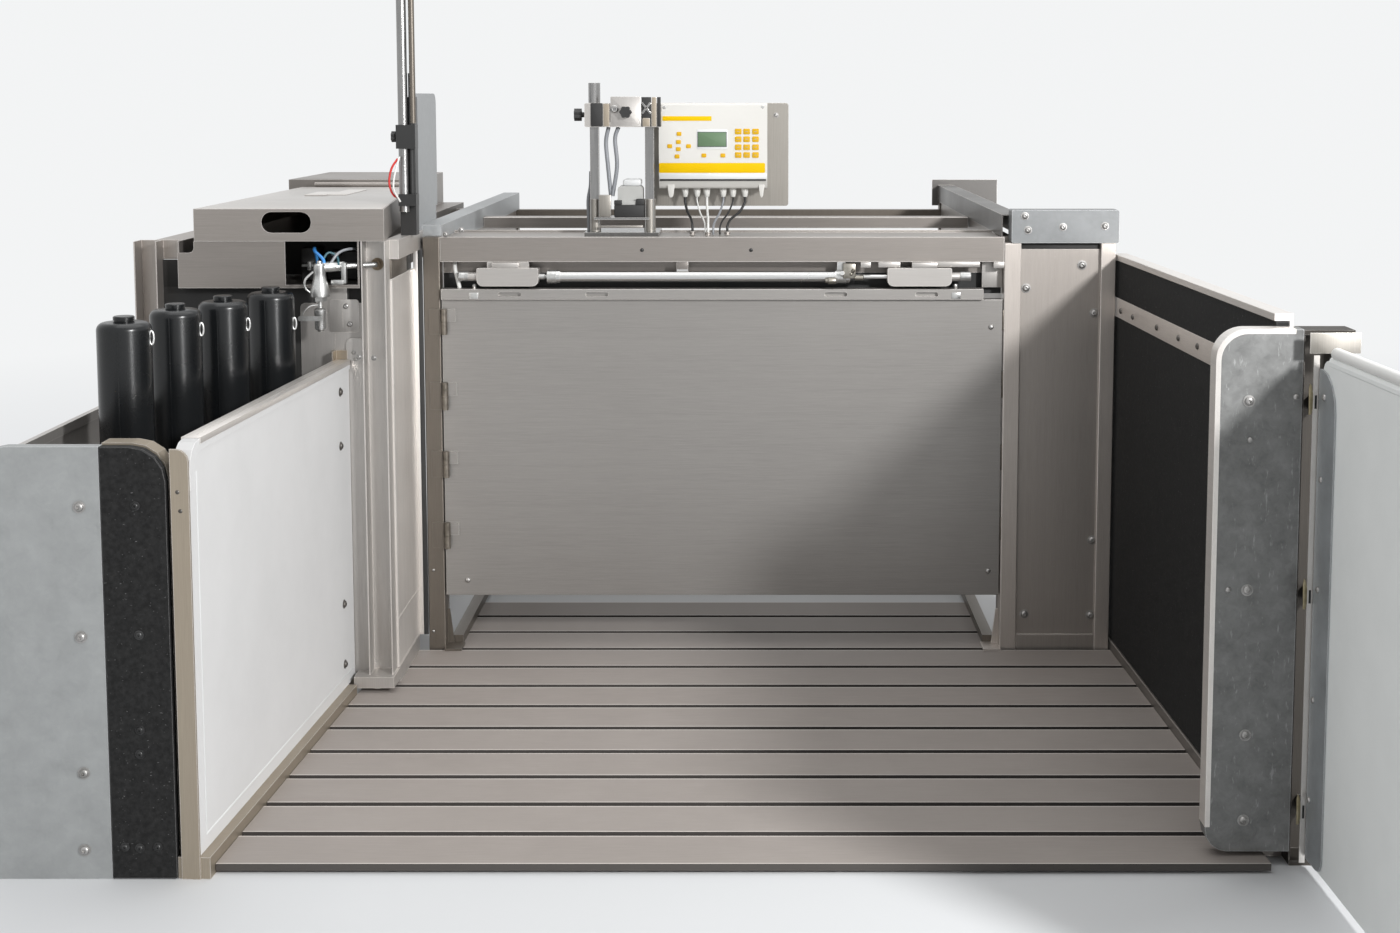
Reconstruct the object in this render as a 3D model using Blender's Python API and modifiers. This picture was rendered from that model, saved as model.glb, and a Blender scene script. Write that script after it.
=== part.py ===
"""Pig sorting station, modelled in metres with +Z up.

A slatted standing floor runs between two splayed walls to a stainless gate. The gate swings towards the
viewer on four hinges and is held shut by an air cylinder under the front beam. A weighing crate stands
behind the gate, a cabinet for the air valves on its left, and a controller and a clamp stand on its beam.
The origin is on the floor under the middle of the gate. X runs to the right and Y away from the viewer.
"""

import math

import bmesh
import bpy
from mathutils import Matrix, Vector

# Gaps, sheets and roundness
CLEAR = 0.0003
SHEET = 0.003
ARC_STEPS = 4

# Floor
PITCH = 0.1529
BOARD_GAP = 0.020
ROWS_FRONT = 9
ROWS_REAR = 3
BOARD_BOTTOM = 0.006
FLOOR_TOP = 0.020
BEARER_TOP = 0.008
BEARER_WIDTH = 0.040
BEARER_X = 0.680
BEARER_INSET = 0.030
REAR_FLOOR_HALF = 0.735
CORNER_FLOOR_LEFT = -0.885
CORNER_ROWS = 2
WALL_FLOOR_GAP = 0.001
ON_FLOOR = FLOOR_TOP + CLEAR

# Gate opening and gate posts
HALF_OPENING = 0.745
POST = 0.045
POST_TOP_LEFT = 1.133
POST_TOP_RIGHT = 1.1165
POST_FOOT_REACH = 0.045
POST_FOOT_FRONT = -0.020
POST_FOOT_THICK = 0.006
RUNNER_IN = 0.010
RUNNER_WIDE = 0.030
RUNNER_TOP = 0.045

# Left wall, in its own frame: the wall runs along -Y from its rear end, its inner face looks along +X
LEFT_WALL_AT = (-HALF_OPENING - 0.175, -0.305)
LEFT_WALL_TURN = -3.4
LEFT_WALL_LENGTH = 1.0865
LEFT_WALL_TOP = 0.850
LEFT_PANEL_THICK = 0.030
LEFT_PANEL_FACE = -0.003
LEFT_RAIL_BACK = -0.045
LEFT_RAIL_FRONT = 0.018
LEFT_RAIL_TOP = 0.043
LEFT_CORNER_RADIUS = 0.045
LEFT_REAR_ANGLE_TOP = 0.875

# Right wall, in its own frame: it runs along -Y, its inner face looks along -X
RIGHT_WALL_AT = (HALF_OPENING + 0.296, 0.053)
RIGHT_WALL_TURN = 1.75
RIGHT_WALL_LENGTH = 1.342
RIGHT_END_X = round(RIGHT_WALL_AT[0] + RIGHT_WALL_LENGTH * math.sin(math.radians(RIGHT_WALL_TURN)), 3)
RIGHT_END_Y = RIGHT_WALL_AT[1] - RIGHT_WALL_LENGTH + 0.0005
RIGHT_RAIL = 0.045
RIGHT_BOARD_FACE = 0.004
RIGHT_BOARD_THICK = 0.026
RIGHT_BOARD_TOP = 1.070
RIGHT_CAP_HEIGHT = 0.015

# Canister bay
BAY_LEFT = -HALF_OPENING - 0.638
BAY_JOINT = BAY_LEFT + 0.228
BAY_RIGHT = BAY_LEFT + 0.353
BAY_FRONT = -1.390
BAY_TOP = 0.845
BAY_CORNER = 0.067
BAY_RETURN = 0.025
BAY_BOARD_THICK = 0.020
BAY_CHANNEL_DEEP = 0.045
BAY_WALL_THICK = 0.005
BAY_WALL_TOP = 0.810
TRAY_TOP = 0.6247
TRAY_RIM = 0.025
CANISTER_RADIUS = 0.055
CANISTER_BODY = 0.405
CANISTER_CAP_RADIUS = 0.0225
CANISTER_CAP_HEIGHT = 0.012
CANISTERS = (
    (BAY_LEFT + 0.161, -1.036),
    (BAY_LEFT + 0.196, -0.810),
    (BAY_LEFT + 0.254, -0.650),
    (BAY_LEFT + 0.313, -0.463),
)

# Left frame posts and the side between corner post and gate post
CORNER_LEFT_X = (-HALF_OPENING - 0.135, -HALF_OPENING - 0.075)
CORNER_LEFT_Y = (-0.340, -0.285)
LEFT_POST_TOP = 1.148
CORNER_FOOT_BOTTOM = 0.032
CORNER_FOOT_TOP = 0.060
FOOT_DISC_RADIUS = 0.015
OUTER_POST_X = (BAY_LEFT - 0.053, BAY_LEFT + 0.003)
OUTER_BEAM_BOTTOM = 1.100
CABINET_REAR = 1.300
SIDE_BEAM_X = (-HALF_OPENING - 0.087, -HALF_OPENING - 0.052)
SIDE_PANEL_X = (-HALF_OPENING - 0.085, -HALF_OPENING - 0.070)
SIDE_PANEL_TOP = 1.050

# Right side frame
CORNER_RIGHT_X = (HALF_OPENING + 0.255, HALF_OPENING + 0.294)
INFILL_FACE = 0.012
INFILL_TOP = 1.100
HEADER_X = (HALF_OPENING + 0.018, HALF_OPENING + 0.301)
HEADER_Z = (1.117, 1.204)
HEADER_Y = (-0.003, 0.060)

# Beams and the weighing crate behind the gate
RAIL_OUTER = HALF_OPENING + 0.055
RAIL_REAR = 1.670
RAIL_LEFT_Z = (1.1035, 1.162)
RAIL_RIGHT_Z = (1.130, 1.188)
BEAM_DEEP = 0.250
BEAM_BOTTOM = 1.067
BEAM_TOP = 1.127
BEAM_LIP = 0.006
CRATE_WALL_X = (HALF_OPENING + 0.005, HALF_OPENING + 0.030)
CRATE_REAR = 1.620
CRATE_WALL_BOTTOM = 0.160
CRATE_FRAME = 0.030
PLATFORM_HALF = HALF_OPENING - RUNNER_IN - RUNNER_WIDE - 0.005
PLATFORM_Y = (0.700, 1.600)
PLATFORM_Z = (0.030, 0.100)
PLATFORM_WALL = 0.010
PLATFORM_FOOT_IN = 0.080
BEAM_FRONT_THICK = 0.030

# Gate
GATE_HALF = HALF_OPENING - 0.003
GATE_BOTTOM = 0.168
GATE_TOP = 0.967
GATE_FACE = 0.0015
GATE_DEEP = 0.035
HINGE_X = -HALF_OPENING + 0.010
HINGE_Y = -0.008
HINGE_RADIUS = 0.008
HINGE_SPLIT = 0.0006
HINGES = ((0.875, 0.942), (0.673, 0.746), (0.491, 0.561), (0.298, 0.368))
GUIDE_TOP = 0.996
GUIDE_RIGHT = GATE_HALF - 0.052
STUD_RADIUS = 0.004
STUDS = (-GATE_HALF + 0.087, GATE_HALF - 0.125)

# Gate lock
LOCK_Z = 1.028
STUD_UNDER = 0.0005
BARREL_RADIUS = 0.014
BARREL_X = (-HALF_OPENING + 0.288, HALF_OPENING - 0.407)
ROD_RADIUS = 0.006
ROD_PLAY = 0.0003
ROD_DEEP = 0.098
ROD_INSERT = 0.020
HOUSING_HALF = 0.024
HOUSING_DEEP = 0.020
STUD_TOP = LOCK_Z - HOUSING_HALF - STUD_UNDER
FIXED_HOUSING_X = (-HALF_OPENING + 0.0993, -HALF_OPENING + 0.262)
SLIDING_HOUSING_X = (HALF_OPENING - 0.3095, HALF_OPENING - 0.140)
STUB_RADIUS = 0.012
STUB_LENGTH = 0.027

# Side door: its frame is on the hinge line, the door runs along -Y
DOOR_AT = (RIGHT_END_X + 0.084, RIGHT_END_Y - 0.0635)
DOOR_TURN = 1.5
DOOR_LENGTH = 0.950
DOOR_THICK = 0.030
DOOR_BOTTOM = 0.030
DOOR_TOP = 1.020
DOOR_HINGE_RADIUS = 0.009
DOOR_HINGES = (0.925, 0.548, 0.122)
DOOR_LUG = 0.030
END_PLATE_X = (RIGHT_END_X - 0.120, RIGHT_END_X + 0.046)
END_PLATE_Y = (RIGHT_END_Y - 0.0415, RIGHT_END_Y)
END_PLATE_Z = (0.029, 1.060)
HINGE_POST_X = (RIGHT_END_X + 0.0465, RIGHT_END_X + 0.134)
HINGE_POST_Y = (RIGHT_END_Y - 0.0365, RIGHT_END_Y + 0.0235)
HINGE_POST_TOP = 1.050

# Cabinet for the air valves
CABINET_X = (-HALF_OPENING - 0.585, -HALF_OPENING - 0.140)
CABINET_FRONT = -0.335
CABINET_Z = (1.033, 1.148)
CABINET_SPLIT = 0.750
HOOD_TOP = 1.250
HOOD_RIGHT = CABINET_X[1] - 0.068
LID_FRONT = -0.340
LID_LEFT = CABINET_X[0] + 0.043
LID_RIGHT = CABINET_X[1] + 0.0635
LID_BOTTOM = 1.1486
LID_TOP = 1.228
LID_AXIS_Z = 1.235
LID_AXIS_IN = 0.010
BRACKET_Y = (-0.2985, -0.2955)
REGULATOR_X = CABINET_X[1] - 0.088
REGULATOR_Y = -0.375
VALVE_Z = 0.965
LEVER_GAP = 0.0005

# Controller and clamp stand on the beam
CONTROLLER_X = (-0.175, 0.121)
CONTROLLER_Y = (0.190, 0.280)
CONTROLLER_Z = (1.250, 1.4835)
GLAND_X = (-0.105, -0.072, -0.045, 0.000, 0.027, 0.060)
GLAND_Y = 0.235
GLAND_RADIUS = 0.0095
GLAND_LENGTH = 0.024
PLATE_X = (-0.207, 0.181)
PLATE_Z = (1.198, 1.484)
POST_A_X = -0.345
POST_B_X = -0.197
STAND_POST = 0.024
STAND_Y = 0.135
BASE_TOP = 1.139
SHELF_Z = (1.172, 1.178)
TOP_TUBE_RADIUS = 0.016
TOP_TUBE_TOP = 1.538
CLAMP_X = (-0.369, -0.165)
CLAMP_Y = (0.100, 0.160)
CLAMP_Z = (1.420, 1.4835)
KNOB_RADIUS = 0.017
KNOB_LOBES = 6

# Mast
MAST_TUBE_AT = (-HALF_OPENING - 0.0605, -0.155)
MAST_TUBE_RADIUS = 0.0125
MAST_TUBE_WALL = 0.002
MAST_TUBE_Z = (1.210, 2.050)
MAST_PLAY = 0.0003
MAST_BLOCK_Z = (1.370, 1.430)
MAST_CHANNEL_X = (-HALF_OPENING - 0.075, -HALF_OPENING - 0.035)
MAST_CHANNEL_Y = (-0.135, -0.095)
MAST_CHANNEL_TOP = 1.500
MAST_PLATE_TOP = 1.510
MAST_PLATE_REAR = 0.300

# Cables between the controller's glands and the grommets on the beam
CABLE_RADIUS = 0.0035
GROMMET_RADIUS = 0.008
GROMMET_TOP = 1.135
CABLES = (
    ("cable_black_left", -0.105, -0.083, 0.170),
    ("cable_white", -0.045, -0.040, 0.150),
    ("cable_black_right", 0.060, 0.012, 0.165),
)

BRUSHED = ((0.44, 0.42, 0.39), 0.34, 1.0)
GALVANISED = ((0.42, 0.44, 0.46), 0.50, 1.0)
ALUMINIUM = ((0.62, 0.62, 0.61), 0.38, 1.0)
DECKING = ((0.19, 0.17, 0.155), 0.62, 0.0)
WHITE = ((0.80, 0.79, 0.77), 0.42, 0.0)
BLACK_BOARD = ((0.022, 0.022, 0.023), 0.70, 0.0)
BLACK_GLOSS = ((0.010, 0.010, 0.011), 0.28, 0.0)
BLACK_MATT = ((0.018, 0.018, 0.018), 0.50, 0.0)
GREY_PLASTIC = ((0.46, 0.46, 0.45), 0.45, 0.0)

for old in list(bpy.data.objects):
    bpy.data.objects.remove(old, do_unlink=True)

station = bpy.data.collections.new("pig_sorting_station")
bpy.context.scene.collection.children.link(station)
helpers = bpy.data.collections.new("helpers")
helpers.hide_render = True
bpy.context.scene.collection.children.link(helpers)


# Shapes

def evaluated(obj):
    """The mesh that an object shows with its modifiers, its loose caps closed."""
    bpy.context.view_layer.update()
    graph = bpy.context.evaluated_depsgraph_get()
    mesh = bpy.data.meshes.new_from_object(obj.evaluated_get(graph))
    work = bmesh.new()
    work.from_mesh(mesh)
    bmesh.ops.remove_doubles(work, verts=work.verts, dist=0.00002)
    bmesh.ops.recalc_face_normals(work, faces=work.faces)
    work.to_mesh(mesh)
    work.free()
    return mesh


def box(x, y, z):
    """A block between the pairs of limits x, y and z."""
    work = bmesh.new()
    bmesh.ops.create_cube(work, size=1)
    bmesh.ops.scale(work, vec=(x[1] - x[0], y[1] - y[0], z[1] - z[0]), verts=work.verts)
    middle = ((x[0] + x[1]) / 2, (y[0] + y[1]) / 2, (z[0] + z[1]) / 2)
    bmesh.ops.translate(work, vec=middle, verts=work.verts)
    mesh = bpy.data.meshes.new("block")
    work.to_mesh(mesh)
    work.free()
    return mesh


def rod(start, end, radius, sides=14, end_radius=None):
    """A round bar, or a cone where end_radius is given, between two points."""
    start = Vector(start)
    end = Vector(end)
    turn = Vector((0, 0, 1)).rotation_difference(end - start).to_matrix().to_4x4()
    work = bmesh.new()
    bmesh.ops.create_cone(
        work,
        cap_ends=True,
        segments=sides,
        radius1=radius,
        radius2=radius if end_radius is None else end_radius,
        depth=(end - start).length,
        matrix=Matrix.Translation((start + end) / 2) @ turn,
    )
    mesh = bpy.data.meshes.new("bar")
    work.to_mesh(mesh)
    work.free()
    return mesh


def rounded(corners):
    """Points round an outline given as (across, up, radius) corners, an arc at each radius."""
    points = []
    for index, (u, v, radius) in enumerate(corners):
        here = Vector((u, v))
        if radius <= 0:
            points.append(here)
            continue
        before = (Vector(corners[index - 1][:2]) - here).normalized()
        after = (Vector(corners[(index + 1) % len(corners)][:2]) - here).normalized()
        half = before.angle(after) / 2
        centre = here + (before + after).normalized() * (radius / math.sin(half))
        start = here + before * (radius / math.tan(half)) - centre
        finish = here + after * (radius / math.tan(half)) - centre
        sweep = start.angle(finish)
        if start.x * finish.y - start.y * finish.x < 0:
            sweep = -sweep
        steps = max(2, round(abs(sweep) / (math.pi / 2) * ARC_STEPS))
        for step in range(steps + 1):
            angle = sweep * step / steps
            points.append(centre + Matrix.Rotation(angle, 2) @ start)
    return points


PLANES = {
    "XY": Matrix.Identity(4),
    "XZ": Matrix(((1, 0, 0, 0), (0, 0, -1, 0), (0, 1, 0, 0), (0, 0, 0, 1))),
    "YZ": Matrix(((0, 0, 1, 0), (1, 0, 0, 0), (0, 1, 0, 0), (0, 0, 0, 1))),
}


def slab(plane, outline, start, end, holes=()):
    """A flat outline in XY, XZ or YZ, with its holes, made thick from start to end across that plane."""
    curve = bpy.data.curves.new("outline", "CURVE")
    curve.dimensions = "2D"
    curve.fill_mode = "BOTH"
    curve.extrude = abs(end - start) / 2
    for points in (outline, *holes):
        spline = curve.splines.new("POLY")
        spline.points.add(len(points) - 1)
        for spot, (u, v) in zip(spline.points, points):
            spot.co = (u, v, 0, 1)
        spline.use_cyclic_u = True
    shape = bpy.data.objects.new("outline", curve)
    helpers.objects.link(shape)
    mesh = evaluated(shape)
    bpy.data.objects.remove(shape, do_unlink=True)
    middle = (start + end) / 2 * (-1 if plane == "XZ" else 1)
    mesh.transform(PLANES[plane] @ Matrix.Translation((0, 0, middle)))
    return mesh


def rectangle(u, v, radius=0.0):
    """A rectangle's outline between two pairs of limits, its corners rounded."""
    return rounded([(u[0], v[0], radius), (u[1], v[0], radius), (u[1], v[1], radius), (u[0], v[1], radius)])


def channel(x, open_y, web_y, sheet=SHEET):
    """The outline in XY of a folded channel whose web is at web_y and whose open side is at open_y."""
    inner = web_y - math.copysign(sheet, web_y - open_y)
    return [
        (x[0], open_y),
        (x[0] + sheet, open_y),
        (x[0] + sheet, inner),
        (x[1] - sheet, inner),
        (x[1] - sheet, open_y),
        (x[1], open_y),
        (x[1], web_y),
        (x[0], web_y),
    ]


def turned(profile, steps, at=(0, 0, 0)):
    """A turned shape about Z from (radius, height) points, top to bottom."""
    mesh = bpy.data.meshes.new("profile")
    work = bmesh.new()
    points = [work.verts.new((radius, 0, height)) for radius, height in profile]
    for first, second in zip(points, points[1:]):
        work.edges.new((first, second))
    work.to_mesh(mesh)
    work.free()
    shape = bpy.data.objects.new("profile", mesh)
    helpers.objects.link(shape)
    screw = shape.modifiers.new("turn", "SCREW")
    screw.steps = steps
    screw.render_steps = steps
    screw.use_merge_vertices = True
    screw.merge_threshold = 0.00001
    result = evaluated(shape)
    bpy.data.objects.remove(shape, do_unlink=True)
    result.transform(Matrix.Translation(at))
    return result


def smooth_route(route, spacing):
    """Points every spacing along a smooth curve through the route's own points."""
    route = [Vector(point) for point in route]
    ends = [2 * route[0] - route[1]] + route + [2 * route[-1] - route[-2]]
    fine = []
    for a, b, c, d in zip(ends, ends[1:], ends[2:], ends[3:]):
        for step in range(24):
            t = step / 24
            fine.append(
                0.5
                * (
                    2 * b
                    + (c - a) * t
                    + (2 * a - 5 * b + 4 * c - d) * t**2
                    + (3 * b - a - 3 * c + d) * t**3
                )
            )
    fine.append(route[-1])
    total = sum((b - a).length for a, b in zip(fine, fine[1:]))
    count = max(2, round(total / spacing))
    points = [fine[0]]
    walked = 0
    for a, b in zip(fine, fine[1:]):
        length = (b - a).length
        while len(points) < count and walked + length >= total * len(points) / count:
            share = (total * len(points) / count - walked) / length
            points.append(a.lerp(b, share))
        walked += length
    points.append(fine[-1])
    return points


def tube(points, radius, resolution=2):
    """A round tube with flat caps through the points."""
    curve = bpy.data.curves.new("tube", "CURVE")
    curve.dimensions = "3D"
    curve.bevel_depth = radius
    curve.bevel_resolution = resolution
    curve.use_fill_caps = True
    spline = curve.splines.new("POLY")
    spline.points.add(len(points) - 1)
    for spot, point in zip(spline.points, points):
        spot.co = (*point, 1)
    return curve


def tube_mesh(points, radius, resolution=2):
    shape = bpy.data.objects.new("tube", tube(points, radius, resolution))
    helpers.objects.link(shape)
    mesh = evaluated(shape)
    bpy.data.objects.remove(shape, do_unlink=True)
    return mesh


def combined(base, others, operation):
    target = bpy.data.objects.new("base", base)
    helpers.objects.link(target)
    made = []
    for other in others:
        tool = bpy.data.objects.new("tool", other)
        tool.display_type = "WIRE"
        helpers.objects.link(tool)
        made.append(tool)
        change = target.modifiers.new("shape", "BOOLEAN")
        change.operation = operation
        change.solver = "EXACT"
        change.object = tool
    result = evaluated(target)
    for shape in (target, *made):
        bpy.data.objects.remove(shape, do_unlink=True)
    return result


def soft(mesh, width, segments=1):
    """The mesh with its sharp edges rounded off by this width."""
    shape = bpy.data.objects.new("block", mesh)
    helpers.objects.link(shape)
    round_edges(shape, width, segments)
    result = evaluated(shape)
    bpy.data.objects.remove(shape, do_unlink=True)
    return result


def round_edges(obj, width, segments):
    softened = obj.modifiers.new("edges", "BEVEL")
    softened.width = width
    softened.segments = segments
    softened.limit_method = "ANGLE"
    softened.angle_limit = math.radians(50)


def joined(base, *others):
    return combined(base, others, "UNION")


def cut(base, *others):
    return combined(base, others, "DIFFERENCE")


def mirrored(mesh, centre_x=0.0):
    """A copy of a mesh mirrored left to right."""
    copy = mesh.copy()
    copy.transform(Matrix.Translation((2 * centre_x, 0, 0)) @ Matrix.Scale(-1, 4, (1, 0, 0)))
    copy.flip_normals()
    return copy


def lobed(radius, lobes, depth):
    """The outline of a star knob: a circle whose radius swells at each lobe."""
    count = lobes * 4
    points = []
    for step in range(count):
        angle = 2 * math.pi * step / count
        reach = radius - depth * (0.5 - 0.5 * math.cos(lobes * angle))
        points.append((reach * math.cos(angle), reach * math.sin(angle)))
    return points


def place(name, shape, look, at=(0, 0, 0), parent=None, edge=0.0, segments=1):
    """Puts a mesh or curve in the station under its name, with its origin and its own finish."""
    colour, roughness, metallic = look
    at = Vector(at)
    if at.length:
        shape.transform(Matrix.Translation(-at))
    shape.name = name
    finish = bpy.data.materials.new(name + "_finish")
    finish.use_nodes = True
    surface = finish.node_tree.nodes["Principled BSDF"]
    surface.inputs["Base Color"].default_value = (*colour, 1)
    surface.inputs["Roughness"].default_value = roughness
    surface.inputs["Metallic"].default_value = metallic
    finish.diffuse_color = (*colour, 1)
    shape.materials.clear()
    shape.materials.append(finish)
    obj = bpy.data.objects.new(name, shape)
    obj.location = at
    obj.parent = parent
    station.objects.link(obj)
    if isinstance(shape, bpy.types.Mesh):
        shape.shade_smooth()
        shape.set_sharp_from_angle(angle=math.radians(32))
    if edge:
        round_edges(obj, edge, segments)
    return obj


def frame(name, at, turn):
    """An empty that holds the pieces of a turned wall or door."""
    empty = bpy.data.objects.new(name, None)
    empty.location = (at[0], at[1], 0)
    empty.rotation_euler = (0, 0, math.radians(turn))
    empty.empty_display_size = 0.1
    station.objects.link(empty)
    return empty


def frame_matrix(at, turn):
    return Matrix.Translation((at[0], at[1], 0)) @ Matrix.Rotation(math.radians(turn), 4, "Z")


def line_x(at, turn, offset, y):
    """Where the line at this offset from a turned wall's own Y axis crosses the world's y."""
    matrix = frame_matrix(at, turn)
    along = (y - matrix[1][0] * offset - matrix[1][3]) / matrix[1][1]
    return (matrix @ Vector((offset, along, 0))).x


left_wall = frame("left_wall", LEFT_WALL_AT, LEFT_WALL_TURN)
right_wall = frame("right_wall", RIGHT_WALL_AT, RIGHT_WALL_TURN)
side_door = frame("side_door", DOOR_AT, DOOR_TURN)


# Floor

def floor_left(row, y):
    if row >= 0:
        return -REAR_FLOOR_HALF
    if row >= -CORNER_ROWS:
        return CORNER_FLOOR_LEFT
    return line_x(LEFT_WALL_AT, LEFT_WALL_TURN, LEFT_RAIL_FRONT + WALL_FLOOR_GAP, y)


def floor_right(row, y):
    if row >= 0:
        return REAR_FLOOR_HALF
    return line_x(RIGHT_WALL_AT, RIGHT_WALL_TURN, -WALL_FLOOR_GAP, y)


boards = []
for row in range(-ROWS_FRONT, ROWS_REAR):
    near = row * PITCH + BOARD_GAP / 2
    far = (row + 1) * PITCH - BOARD_GAP / 2
    outline = [
        (floor_left(row, near), near),
        (floor_right(row, near), near),
        (floor_right(row, far), far),
        (floor_left(row, far), far),
    ]
    boards.append(slab("XY", outline, BOARD_BOTTOM, FLOOR_TOP))
floor_y = (-ROWS_FRONT * PITCH + BEARER_INSET, ROWS_REAR * PITCH - BEARER_INSET)
bearers = [
    box((x - BEARER_WIDTH / 2, x + BEARER_WIDTH / 2), floor_y, (0, BEARER_TOP))
    for x in (-BEARER_X, 0, BEARER_X)
]
place("slatted_floor", joined(boards[0], *bearers, *boards[1:]), DECKING)


# Left wall: a rail with the end strip and rear angle welded on, and the white panel that stands in it

FOOT_ROOM = 0.060
STRIP_LAP = 0.002
PANEL_X = (LEFT_PANEL_FACE - LEFT_PANEL_THICK, LEFT_PANEL_FACE)
rail_outline = [
    (LEFT_RAIL_BACK, -LEFT_WALL_LENGTH),
    (LEFT_RAIL_FRONT, -LEFT_WALL_LENGTH),
    (LEFT_RAIL_FRONT, -FOOT_ROOM),
    (PANEL_X[1] - SHEET, -FOOT_ROOM),
    (PANEL_X[1] - SHEET, SHEET + CLEAR),
    (LEFT_RAIL_BACK, SHEET + CLEAR),
]
strip_top = LEFT_WALL_TOP - 0.010
end_strip = slab(
    "XZ",
    rounded([(-0.037, 0, 0), (-0.001, 0, 0), (-0.001, strip_top, 0.024), (-0.037, strip_top, 0)]),
    -LEFT_WALL_LENGTH - SHEET,
    -LEFT_WALL_LENGTH + STRIP_LAP,
)
rear_web = box((LEFT_RAIL_BACK, PANEL_X[1] - SHEET), (CLEAR, CLEAR + SHEET), (0.020, LEFT_REAR_ANGLE_TOP))
rear_leg = box(
    (PANEL_X[0] - CLEAR - SHEET, PANEL_X[0] - CLEAR),
    (-0.030, CLEAR + SHEET / 2),
    (0.020, LEFT_REAR_ANGLE_TOP),
)
place(
    "left_wall_frame",
    joined(slab("XY", rail_outline, 0, LEFT_RAIL_TOP), end_strip, rear_web, rear_leg),
    BRUSHED,
    parent=left_wall,
)

panel_front = -LEFT_WALL_LENGTH + STRIP_LAP + CLEAR
panel_bottom = LEFT_RAIL_TOP + CLEAR
panel = slab(
    "YZ",
    rounded(
        [
            (panel_front + 0.002, panel_bottom, 0),
            (0, panel_bottom, 0),
            (0, LEFT_WALL_TOP - 0.010, 0),
            (panel_front + 0.002, LEFT_WALL_TOP - 0.010, LEFT_CORNER_RADIUS),
        ]
    ),
    *PANEL_X,
)
CAP_DROP = 0.022
cap_inner_front = panel_front + CAP_DROP
cap_outline = rounded(
    [
        (panel_front, LEFT_WALL_TOP - 0.090, 0),
        (cap_inner_front, LEFT_WALL_TOP - 0.090, 0),
        (cap_inner_front, LEFT_WALL_TOP - CAP_DROP, LEFT_CORNER_RADIUS - 0.010),
        (0, LEFT_WALL_TOP - CAP_DROP, 0),
        (0, LEFT_WALL_TOP, 0),
        (panel_front, LEFT_WALL_TOP, LEFT_CORNER_RADIUS + 0.006),
    ]
)
place(
    "left_wall_panel",
    joined(panel, slab("YZ", cap_outline, PANEL_X[0] + 0.0005, 0.0)),
    WHITE,
    parent=left_wall,
    edge=0.0012,
)


# Canister bay

def folded_front(x, z, front, depth, radii, open_side, sheet=SHEET):
    """A sheet facing the viewer with a return folded back round its edges, left open on one side and below.

    radii are those of the lower left, lower right, upper right and upper left corners.
    """
    corners = [
        (x[0], z[0], radii[0]),
        (x[1], z[0], radii[1]),
        (x[1], z[1], radii[2]),
        (x[0], z[1], radii[3]),
    ]
    left = x[0] + (sheet if open_side != "left" else -sheet)
    right = x[1] - (sheet if open_side != "right" else -sheet)
    inside = [
        (left, z[0] - sheet, 0),
        (right, z[0] - sheet, 0),
        (right, z[1] - sheet, max(radii[2] - sheet, 0)),
        (left, z[1] - sheet, max(radii[3] - sheet, 0)),
    ]
    block = slab("XZ", rounded(corners), front, front + depth)
    hollow = slab("XZ", rounded(inside), front + sheet, front + depth + sheet)
    return cut(block, hollow)


place(
    "bay_front_plate",
    folded_front((BAY_LEFT, BAY_JOINT), (0, BAY_TOP), BAY_FRONT, BAY_RETURN, (0, 0, 0, 0.050), "right"),
    GALVANISED,
    edge=0.0010,
)
board_x = (BAY_JOINT + 0.0005, BAY_RIGHT)
board_outline = rounded(
    [
        (board_x[0], 0.002, 0),
        (board_x[1], 0.002, 0),
        (board_x[1], BAY_TOP, BAY_CORNER),
        (board_x[0], BAY_TOP, 0),
    ]
)
board_y = (BAY_FRONT - 0.002, BAY_FRONT - 0.002 + BAY_BOARD_THICK)
place("bay_front_board", slab("XZ", board_outline, *board_y), BLACK_BOARD, edge=0.0015)
place(
    "bay_front_channel",
    folded_front(
        board_x, (0, BAY_TOP + 0.004), board_y[1] + CLEAR, BAY_CHANNEL_DEEP, (0, 0, BAY_CORNER, 0), "none"
    ),
    BRUSHED,
)

wall_y = (BAY_FRONT + BAY_RETURN + CLEAR, CORNER_LEFT_Y[0] - CLEAR)
wall_x = (BAY_LEFT - BAY_WALL_THICK / 2, BAY_LEFT + BAY_WALL_THICK / 2)
place(
    "bay_outer_wall",
    joined(
        box(wall_x, wall_y, (0, BAY_WALL_TOP - 0.004)),
        box((wall_x[0] - 0.004, wall_x[1] + 0.004), wall_y, (BAY_WALL_TOP - 0.020, BAY_WALL_TOP)),
    ),
    BRUSHED,
)

TRAY_FRONT = -1.300
TRAY_REAR = -0.365


def tray_right(y, inset=0.0):
    return line_x(LEFT_WALL_AT, LEFT_WALL_TURN, PANEL_X[0] - CLEAR, y) - inset


def tray_outline(inset):
    near = TRAY_FRONT + inset
    far = TRAY_REAR - inset
    left = wall_x[1] + CLEAR + inset
    return [(left, near), (tray_right(near, inset), near), (tray_right(far, inset), far), (left, far)]


place(
    "canister_tray",
    cut(
        slab("XY", tray_outline(0), TRAY_TOP - TRAY_RIM, TRAY_TOP),
        slab("XY", tray_outline(SHEET), TRAY_TOP - TRAY_RIM - SHEET, TRAY_TOP - SHEET),
    ),
    BRUSHED,
)

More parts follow.
